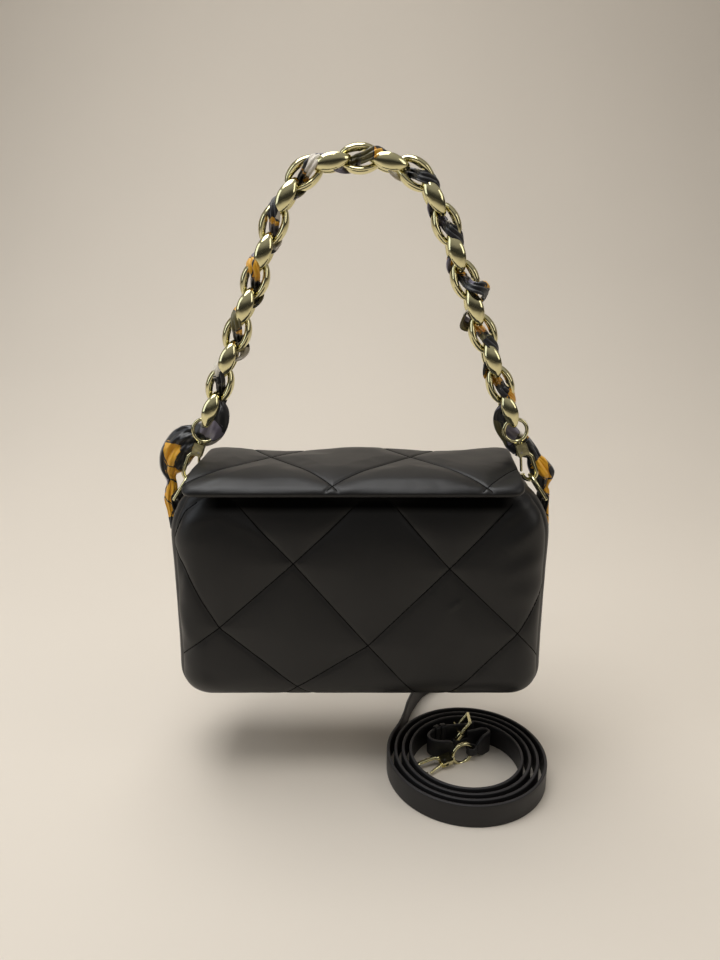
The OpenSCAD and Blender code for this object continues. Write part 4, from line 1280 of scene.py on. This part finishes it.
class BAG_OT_flap(bpy.types.Operator):
    """Padded flap: one quilted pillow that thins and sags towards its lip, and its cloth lining"""

    bl_idname = "bag.flap"
    bl_label = "Flap"

    def execute(self, context):
        settings, body = context.scene.bag_flap, context.scene.bag_body
        form = FlapForm()
        half = (form.top - form.low) / 2
        grid = form.pillow(0, settings.edge, form.low, form.top)
        on_top = np.clip((grid[..., 2] - form.low) / half - 1, 0, 1)
        form.bend(grid)
        marks = {"panel": np.stack([grid[..., 0], grid[..., 1], on_top], -1).reshape(-1, 3)}
        faces = grid_faces(*on_top.shape, False, True)
        points = grid.reshape(-1, 3)
        made = make_piece("Quilted_Flap", points, faces, black_leather(), merge=MERGE, marks=marks)
        x, y, on_top = read_attribute(made, "panel").T
        seams = to_seams(np.stack([x, y], -1), FLAP_SEAMS)
        edge = np.minimum(y - form.lip, form.back - y) + 6 * MM
        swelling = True
        crown = settings.crown * (CROWN_BEFORE if swelling else 1.0)
        level = quilt_height(np.minimum(seams, edge), crown, FLAP_REACH, settings.sink) * on_top
        to_back = form.back - y
        level *= 1 - 0.75 * np.exp(-((to_back / FADE) ** 2))
        level -= LOWERED_BY * np.exp(-((to_back / LOWERED) ** 2)) * on_top
        near_back = np.exp(-((to_back / WAVE_FADE) ** 2)) * np.clip(2 * on_top, 0, 1)
        level += settings.wave * np.cos((x - WAVE_START) / WAVE_RUN) * near_back
        place(made, points_of(made) + normals_of(made) * level[:, None])
        if swelling:
            settle(made, (seams < FLAP_HELD) | (on_top < 0.3), body.pressure, FLAP_SWELL)
        subdivide(made)
        x, y, on_top = read_attribute(made, "panel").T
        seams = to_seams(np.stack([x, y], -1), FLAP_SEAMS)
        crease = crease_height(seams, *FLAP_CREASE) * on_top
        place(made, points_of(made) + normals_of(made) * crease[:, None])
        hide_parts("flap_rear", "flap_front")
        thread = sewn("Flap_Thread_And_Shade", made, self.seam_lines(form), body.stitch, THREAD)
        cloth = woven_cloth("Lining_Cloth", settings.lining, 0.8, LINING_PITCH)
        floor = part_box("flap_front_lining")[0].z
        sheet = form.pillow(LINING_INSET, LINING_EDGE, floor + 0.1 * MM, floor + 1.1 * MM)
        form.bend(sheet)
        faces = grid_faces(*sheet.shape[:2], False, True)
        lining = make_piece("Flap_Lining", sheet.reshape(-1, 3), faces, cloth, merge=MERGE)
        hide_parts("flap_rear_lining", "flap_front_lining")
        for piece in (made, thread, lining):
            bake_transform(piece)
        return {"FINISHED"}

    def seam_lines(self, form):
        """Points over the flap along each seam, and the outward directions there, which lean forwards at the
        lip."""
        lines = []
        for corners in FLAP_SEAMS:
            p = drawn(corners, SEAM_STEP)
            p = p[(p[:, 1] > form.lip + 0.5 * MM) & (p[:, 1] < form.back - 1.5 * MM)]
            near = np.clip(1 - (p[:, 1] - form.lip) / (4 * MM), 0, 1)
            points = np.concatenate([p, np.full((len(p), 1), form.top)], 1)
            form.bend(points[:, None])
            outward = unit(np.stack([np.zeros(len(p)), -1.2 * near, np.ones(len(p))], -1))
            lines.append((points - 2 * MM * near[:, None] * UP, outward))
        return lines


# Tabs, lining, board


# Radius of a tab's loop round its ring's bar, half its leather's thickness, and how far the bar lies inside
# the tab's box
LOOP_RADIUS, TAB_LEATHER, BAR_INSET = 2.42 * MM, 0.75 * MM, 3.2 * MM
# Pitch and half thickness of the tabs' stitches, and how far they are from the tabs' edges
TAB_STITCH, TAB_THREAD, TAB_MARGIN = 2.6 * MM, 0.3 * MM, 1.5 * MM


class BAG_OT_tabs(bpy.types.Operator):
    """Leather tabs that hold the D rings: each is doubled round its ring's bar and sewn flat below it"""

    bl_idname = "bag.tabs"
    bl_label = "Ring tabs"

    def execute(self, context):
        low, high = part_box("right_ring_tab")
        radius, half_t, half_w = LOOP_RADIUS, TAB_LEATHER, high.y
        bar = Vector((high.x - BAR_INSET, 0, high.z - BAR_INSET))
        inner_x, outer_x = low.x + half_t + 0.2 * MM, bar.x + radius
        flat_x = inner_x + 1.7 * MM
        turn = np.radians(np.linspace(180, 0, 15))
        loop = np.stack([bar.x + radius * np.cos(turn), np.zeros(15), bar.z + radius * np.sin(turn)], -1)
        down = [(outer_x - 0.2 * MM, bar.z - 5 * MM), (flat_x + 1.5 * MM, bar.z - 11 * MM),
                (flat_x + 0.2 * MM, bar.z - 16 * MM), (flat_x, low.z + 1 * MM)]
        up = [(inner_x, low.z + 1 * MM), (inner_x, bar.z - 15 * MM), (inner_x + 0.4 * MM, bar.z - 8 * MM),
              (bar.x - radius - 0.1 * MM, bar.z - 3 * MM)]
        up, down = (np.array([(x, 0, z) for x, z in side]) for side in (up, down))
        path = smooth_curve(np.concatenate([up, loop[::2], down]), 5)
        across = np.broadcast_to(DEPTH, path.shape)
        out = np.cross(tangents(path), across)
        rise = np.arange(low.z + 2.5 * MM, bar.z - 12 * MM, 1.3 * MM)
        for name, side in (("Right", 1), ("Left", -1)):
            points, faces, uv = sweep(path, across, out, oblong(half_w, half_t, 0.5 * MM))
            piece = make_piece(f"Ring_Tab_{name}", points * [side, 1, 1], faces, black_leather(), uv)
            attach(piece, "bag")
            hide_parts(f"{name.lower()}_ring_tab")
            outward = np.broadcast_to([float(side), 0.0, 0.0], (len(rise), 3))
            rows = [
                (np.stack([np.full(len(rise), side * flat_x), np.full(len(rise), y), rise], -1), outward)
                for y in (TAB_MARGIN - half_w, half_w - TAB_MARGIN)
            ]
            thread = sewn(f"Tab_Thread_And_Shade_{name}", piece, rows, TAB_STITCH, TAB_THREAD)
            thread.parent = piece
        return {"FINISHED"}


class BAG_OT_inside(bpy.types.Operator):
    """Cloth lining of the body and the stiffening board under it keep their frame shapes"""

    bl_idname = "bag.inside"
    bl_label = "Lining and board"

    def execute(self, context):
        cloth = woven_cloth("Body_Lining_Cloth", context.scene.bag_flap.lining, 0.8, LINING_PITCH)
        dress(["lining"], cloth)
        dress(["base_board"], plain_board("Fibre_Board", (0.30, 0.22, 0.14)))
        return {"FINISHED"}


# Long strap

# Seen from above: the coil's middle, the directions in degrees in which its outermost turn starts and its
# inmost one ends, and the routes of the far end, the tip and the short strap in shares of the coil's radius
COIL_CENTRE = np.array([83.106, -38.13]) * MM
OUT_ANGLE, IN_ANGLE, TURNS = 158, 75, 4
TAIL = [(-0.82, 0.6), (-0.74, 0.84), (-0.67, 1.12), (-0.57, 1.38), (-0.4, 1.68), (-0.1, 1.92), (0.18, 2.02)]
TIP = [(0.11, 0.57), (-0.01, 0.555), (-0.12, 0.54), (-0.23, 0.52), (-0.34, 0.47),
       (-0.43, 0.39), (-0.46, 0.3), (-0.4, 0.22), (-0.28, 0.195), (-0.15, 0.21)]
SHORT = [(0.06, 0.412), (0.15, 0.43), (0.25, 0.465), (0.32, 0.45),
         (0.335, 0.39), (0.27, 0.33), (0.21, 0.275), (0.153, 0.237)]
# Directions in which the straps' ends point at their rings, and the buckle's place and lean
NEAR_ANGLE, FAR_ANGLE = 202, 10
BUCKLE_SHARE, BUCKLE_LEAN = (-0.045, 0.513), 34
# How far an end is drawn in from above and below at its ring, and over what stretch
PINCH, LONG_PINCH_RUN, SHORT_PINCH_RUN = 5.4 * MM, 16 * MM, 9 * MM
# Stretch over which the tip is rounded
TIP_RUN = 5 * MM
# Radius and half height of an end's eye, and how far its middle lies beyond the end
EYE_RADIUS, EYE_HALF, EYE_BEYOND = 3.55 * MM, 3.0 * MM, 4.38 * MM
# Radius of the loop on the buckle's bar, the bar's depth behind the frame's front, and its distance from the
# frame's middle
BAR_LOOP, BAR_DEPTH, BAR_DOWN = 2.15 * MM, 1.3 * MM, 8.06 * MM
# How far the middle of a keeper's leather lies outside the strap
KEEPER_ROOM = 0.9 * MM


def coil_point(turned):
    """Point of the coil after that many degrees: the radius shrinks by one step in each full turn."""
    strap = bpy.context.scene.bag_strap
    radius = strap.coil_radius - strap.turn_step * turned / 360
    angle = np.radians(OUT_ANGLE + turned)
    return COIL_CENTRE + radius[:, None] * np.stack([np.cos(angle), np.sin(angle)], -1)


def routed(shares):
    return COIL_CENTRE + bpy.context.scene.bag_strap.coil_radius * np.array(shares)


def strap_paths():
    """The long strap's run, from its far end round the coil to its tip, where the tip begins, and the short
    strap's run."""
    turned = IN_ANGLE - OUT_ANGLE + TURNS * 360
    coil = coil_point(np.append(np.arange(0, turned, 3.0), turned))
    tail = smooth_curve(np.concatenate([routed(TAIL[::-1]), coil[:1]]), 8)
    tip = smooth_curve(np.concatenate([coil[-1:], routed(TIP)]), 8)
    run = np.concatenate([tail[:-1], coil, tip[1:]])
    return run, len(tail) + len(coil) - 2, smooth_curve(routed(SHORT), 8)


def upright_band(run, low, high):
    """Strap on its edge along a run in plan, between two heights that may change along it."""
    strap = bpy.context.scene.bag_strap
    path = np.concatenate([run, ((low + high) / 2)[:, None]], 1)
    along = tangents(path)
    out = np.cross(along, UP)
    across = np.broadcast_to(UP, path.shape)
    whole = oblong(strap.width / 2, strap.thickness / 2, 0.8 * MM)
    share = ((high - low) / strap.width)[:, None, None]
    return sweep(path, across, unit(out), whole[None] * np.concatenate([share, np.ones_like(share)], -1))


def paint_edges(obj):
    """Gives the faces of the strap's narrow edges, which look up or down, their second material."""
    faces = obj.data.polygons
    normals = np.empty(3 * len(faces), np.float32)
    faces.foreach_get("normal", normals)
    faces.foreach_set("material_index", (np.abs(normals[2::3]) > 0.75).astype(np.int32))


class BAG_OT_strap(bpy.types.Operator):
    """Long strap coiled on its edge, the short strap at its buckle, and two keepers"""

    bl_idname = "bag.strap"
    bl_label = "Long strap"

    def execute(self, context):
        strap = context.scene.bag_strap
        leather = soft_leather("Strap_Leather", strap.leather, 0.46, 0.8)
        edge = soft_leather("Strap_Edge_Paint", strap.edge, 0.5, 0.3)
        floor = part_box("long_strap")[0].z
        top = floor + strap.width
        run, tip_start, short = strap_paths()
        steps = np.arange(len(run))
        low = floor + strap.lift * np.clip((steps - tip_start) / 14, 0, 1)
        gone = run_length(run)
        near_tip = np.clip(1 - (gone[-1] - gone) / TIP_RUN, 0, 1)
        rounded = strap.width * 0.22 * (1 - np.sqrt(1 - near_tip**2))
        pinch = PINCH * np.clip(1 - gone / LONG_PINCH_RUN, 0, 1) ** 2
        band = upright_band(run, low + rounded + pinch, top - rounded - pinch)
        eye = self.eye(run[0], FAR_ANGLE, floor + strap.width / 2)
        points, faces, uv = joined([band, eye])
        made = make_piece("Long_Strap", points, faces, [leather, edge], uv)
        paint_edges(made)
        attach(made, "strap")
        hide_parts("long_strap")
        gone = run_length(short)
        pinch = PINCH * np.clip(1 - (gone[-1] - gone) / SHORT_PINCH_RUN, 0, 1) ** 2
        band = upright_band(short, floor + pinch, top - pinch)
        eye = self.eye(short[-1], NEAR_ANGLE, floor + strap.width / 2)
        points, faces, uv = joined([band, eye, self.buckle_eye(short, floor)])
        made = make_piece("Short_Strap", points, faces, [leather, edge], uv)
        paint_edges(made)
        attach(made, "strap")
        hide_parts("short_strap")
        self.keepers(run, tip_start, floor, leather)
        return {"FINISHED"}

    def eye(self, end, angle, height):
        """Upright loop that a ring's wire runs through, with a web back into the strap's end."""
        strap = bpy.context.scene.bag_strap
        heading = np.array([math.cos(math.radians(angle)), math.sin(math.radians(angle))])
        centre = end + heading * EYE_BEYOND
        turn = np.radians(np.linspace(0, 360, 40, endpoint=False))
        side = np.array([-heading[1], heading[0]])
        circle = centre + EYE_RADIUS * (np.cos(turn)[:, None] * heading + np.sin(turn)[:, None] * side)
        path = np.concatenate([circle, np.full((40, 1), height)], 1)
        out = np.concatenate([unit(circle - centre), np.zeros((40, 1))], 1)
        section = oblong(EYE_HALF, strap.thickness * 0.33, 0.5 * MM)
        return sweep(path, np.broadcast_to(UP, path.shape), out, section, closed=True)

    def buckle_eye(self, short, floor):
        """Loop round the buckle's near bar, which leans, with its tail laid back on the short strap's end."""
        strap = bpy.context.scene.bag_strap
        lean = math.radians(BUCKLE_LEAN)
        axis = np.array([math.sin(lean), 0, math.cos(lean)])
        side = np.array([math.cos(lean), 0, -math.sin(lean)])
        low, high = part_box("buckle_frame")
        plan = routed([BUCKLE_SHARE])[0]
        centre = np.array([plan[0], low.y + BAR_DEPTH, (low.z + high.z) / 2]) - axis * BAR_DOWN
        turn = np.radians(np.linspace(65, 300, 22))
        loop = centre + BAR_LOOP * (np.cos(turn)[:, None] * side + np.sin(turn)[:, None] * DEPTH)
        tail = np.array([short[4][0], short[4][1], floor + strap.width * 0.46])
        middle = (loop[-1] + tail) / 2
        path = smooth_curve(np.concatenate([loop[::3], [middle], [tail]]), 5)
        share = np.clip((np.arange(len(path)) - 0.7 * len(path)) / (0.3 * len(path)), 0, 1)[:, None]
        across = unit(axis * (1 - share) + UP * share)
        along = tangents(path)
        across = unit(across - (across * along).sum(1, keepdims=True) * along)
        return sweep(path, across, np.cross(along, across), oblong(3.6 * MM, 0.8 * MM, 0.5 * MM))

    def keepers(self, run, tip_start, floor, leather):
        """Two narrow leather loops round the tip, each a band carried round the strap's section."""
        strap = bpy.context.scene.bag_strap
        tip = run[tip_start:]
        low = floor + strap.lift
        middle, half_h = (low + floor + strap.width) / 2, (strap.width - strap.lift) / 2 + KEEPER_ROOM
        half_t = strap.thickness / 2 + KEEPER_ROOM
        parts = []
        for share in (0.425, 0.5):
            i = int(round((len(tip) - 1) * share))
            heading = unit(tip[i + 1] - tip[i - 1])
            outward = np.array([-heading[1], heading[0], 0])
            loop = oblong(half_h, half_t, 1.2 * MM, 4)
            centre = np.array([*tip[i], middle])
            path = centre + loop[:, :1] * UP + loop[:, 1:] * outward
            away = unit(tangents(path, closed=True))
            across = np.broadcast_to(np.array([*heading, 0]), path.shape)
            section = oblong(2.2 * MM, 0.6 * MM, 0.4 * MM)
            parts.append(sweep(path, across, np.cross(away, across), section, closed=True))
        made = make_piece("Strap_Keepers", *joined(parts)[:2], leather)
        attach(made, "strap")
        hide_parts("strap_keepers")


# Stage


def soft_lamp(name, where, size, watts, aim, tint=(1, 1, 1)):
    data = bpy.data.lights.new(name, "AREA")
    data.shape = "RECTANGLE"
    data.size, data.size_y = size
    data.energy = watts * bpy.context.scene.bag_stage.light
    data.color = tint
    lamp = bpy.data.objects.new(name, data)
    lamp.location = where
    lamp.rotation_euler = (Vector(aim) - Vector(where)).to_track_quat("-Z", "Y").to_euler()
    bpy.context.scene.collection.objects.link(lamp)


def cove_run(floor, behind, length_):
    """Side view of the backdrop: a flat floor that turns up behind the bag, at first slowly, then faster,
    then slowly."""
    t = np.linspace(0, 1, 60)
    heading = math.pi / 2 * t * t * (3 - 2 * t)
    step = length_ / 59
    y = behind + np.concatenate([[0], np.cumsum(np.cos(heading[1:]) * step)])
    z = floor + np.concatenate([[0], np.cumsum(np.sin(heading[1:]) * step)])
    return np.concatenate([[-3.0], y, y[-1:]]), np.concatenate([[floor], z, z[-1:] + 2.0])


# Depths between which the floor is dark near the camera and pale near the bag
DARK_FLOOR = (-1.1, -0.35)


class BAG_OT_stage(bpy.types.Operator):
    """Camera, pale floor that sweeps up into a backdrop, soft lamps and a quiet world"""

    bl_idname = "bag.stage"
    bl_label = "Stage"

    def execute(self, context):
        scene = context.scene
        camera = bpy.data.cameras.new("Camera")
        camera.sensor_fit = "VERTICAL"
        camera.sensor_height, camera.lens = 36, 27
        camera.clip_start = 0.02
        seen = bpy.data.objects.new("Camera", camera)
        seen.location = (0, -0.515, -0.073)
        seen.rotation_euler = (math.radians(90 - 16), 0, 0)
        scene.collection.objects.link(seen)
        scene.camera = seen
        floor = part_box("long_strap")[0].z
        y, z = cove_run(floor, 0.2, 2.2)
        sides = np.linspace(-3, 3, 9)
        points = np.stack(np.broadcast_arrays(sides[None], y[:, None], z[:, None]), -1)
        material, tree, shader = new_material("Pale_Floor")
        where = object_coordinates(tree)
        tint = scene.bag_stage.floor
        tone = noise(tree, where, 2.2, 2)
        pale = two_colours(tree, tone, scaled(tint, 0.93), tint)
        depth = add_node(tree, "ShaderNodeSeparateXYZ", {0: where}).outputs[1]
        away = share_between(tree, depth, *DARK_FLOOR)
        tree.links.new(two_colours(tree, away, scaled(tint, 0.15), pale), shader.inputs["Base Color"])
        shader.inputs["Roughness"].default_value = 0.8
        bump(tree, shader, noise(tree, where, 900, 2), 0.05, 0.0002)
        make_piece("Floor", points.reshape(-1, 3), grid_faces(len(y), 9), material, closed=False)
        soft_lamp("Overhead", (-0.3, 0.05, 1.25), (1.5, 1.1), 23, (0.05, 0.0, -0.4))
        soft_lamp("Left", (-1.25, -0.35, 0.35), (0.7, 1.1), 3.6, (0, 0, -0.28), (0.86, 0.92, 1.0))
        soft_lamp("Right", (1.3, -0.5, 0.5), (0.5, 0.9), 2.5, (0, 0, -0.25), (1.0, 0.95, 0.88))
        world = bpy.data.worlds.new("Quiet_Room")
        world.use_nodes = True
        tree = world.node_tree
        direction = add_node(tree, "ShaderNodeTexCoord").outputs["Generated"]
        height = add_node(tree, "ShaderNodeSeparateXYZ", {0: direction}).outputs[2]
        ramp = add_node(tree, "ShaderNodeValToRGB", {"Fac": share_between(tree, height, -1.0, 1.0)})
        stops = ramp.color_ramp.elements
        for at, level in ((0.42, 0.06), (0.58, 0.10), (0.74, 0.55)):
            stops.new(at).color = (level, level * 0.97, level * 0.93, 1)
        stops[0].color = (0.40, 0.38, 0.35, 1)
        stops[-1].color = (0.75, 0.73, 0.70, 1)
        tree.links.new(ramp.outputs[0], tree.nodes["Background"].inputs["Color"])
        tree.nodes["Background"].inputs["Strength"].default_value = 0.5
        scene.world = world
        scene.view_settings.view_transform = "Standard"
        return {"FINISHED"}


# Add-on


class BAG_PT_panel(bpy.types.Panel):
    """Lists the bag's pieces in the order in which they are built"""

    bl_label = "Chain shoulder bag"
    bl_idname = "BAG_PT_panel"
    bl_space_type = "VIEW_3D"
    bl_region_type = "UI"
    bl_category = "Bag"

    def draw(self, context):
        for operator in OPERATORS:
            self.layout.operator(operator.bl_idname)


SETTINGS = {
    "bag_chain": ChainSettings,
    "bag_scarf": ScarfSettings,
    "bag_body": BodySettings,
    "bag_flap": FlapSettings,
    "bag_strap": StrapSettings,
    "bag_stage": StageSettings,
}
OPERATORS = [
    BAG_OT_stage,
    BAG_OT_strap,
    BAG_OT_chain,
    BAG_OT_hooks,
    BAG_OT_body,
    BAG_OT_flap,
    BAG_OT_tabs,
    BAG_OT_inside,
    BAG_OT_scarf,
]


def register():
    for cls in [*SETTINGS.values(), *OPERATORS, BAG_PT_panel]:
        bpy.utils.register_class(cls)
    for name, cls in SETTINGS.items():
        setattr(bpy.types.Scene, name, PointerProperty(type=cls))


def unregister():
    for name in SETTINGS:
        delattr(bpy.types.Scene, name)
    for cls in reversed([*SETTINGS.values(), *OPERATORS, BAG_PT_panel]):
        bpy.utils.unregister_class(cls)


def main():
    register()
    for operator in OPERATORS:
        group, name = operator.bl_idname.split(".")
        getattr(getattr(bpy.ops, group), name)()


if __name__ == "__main__":
    main()
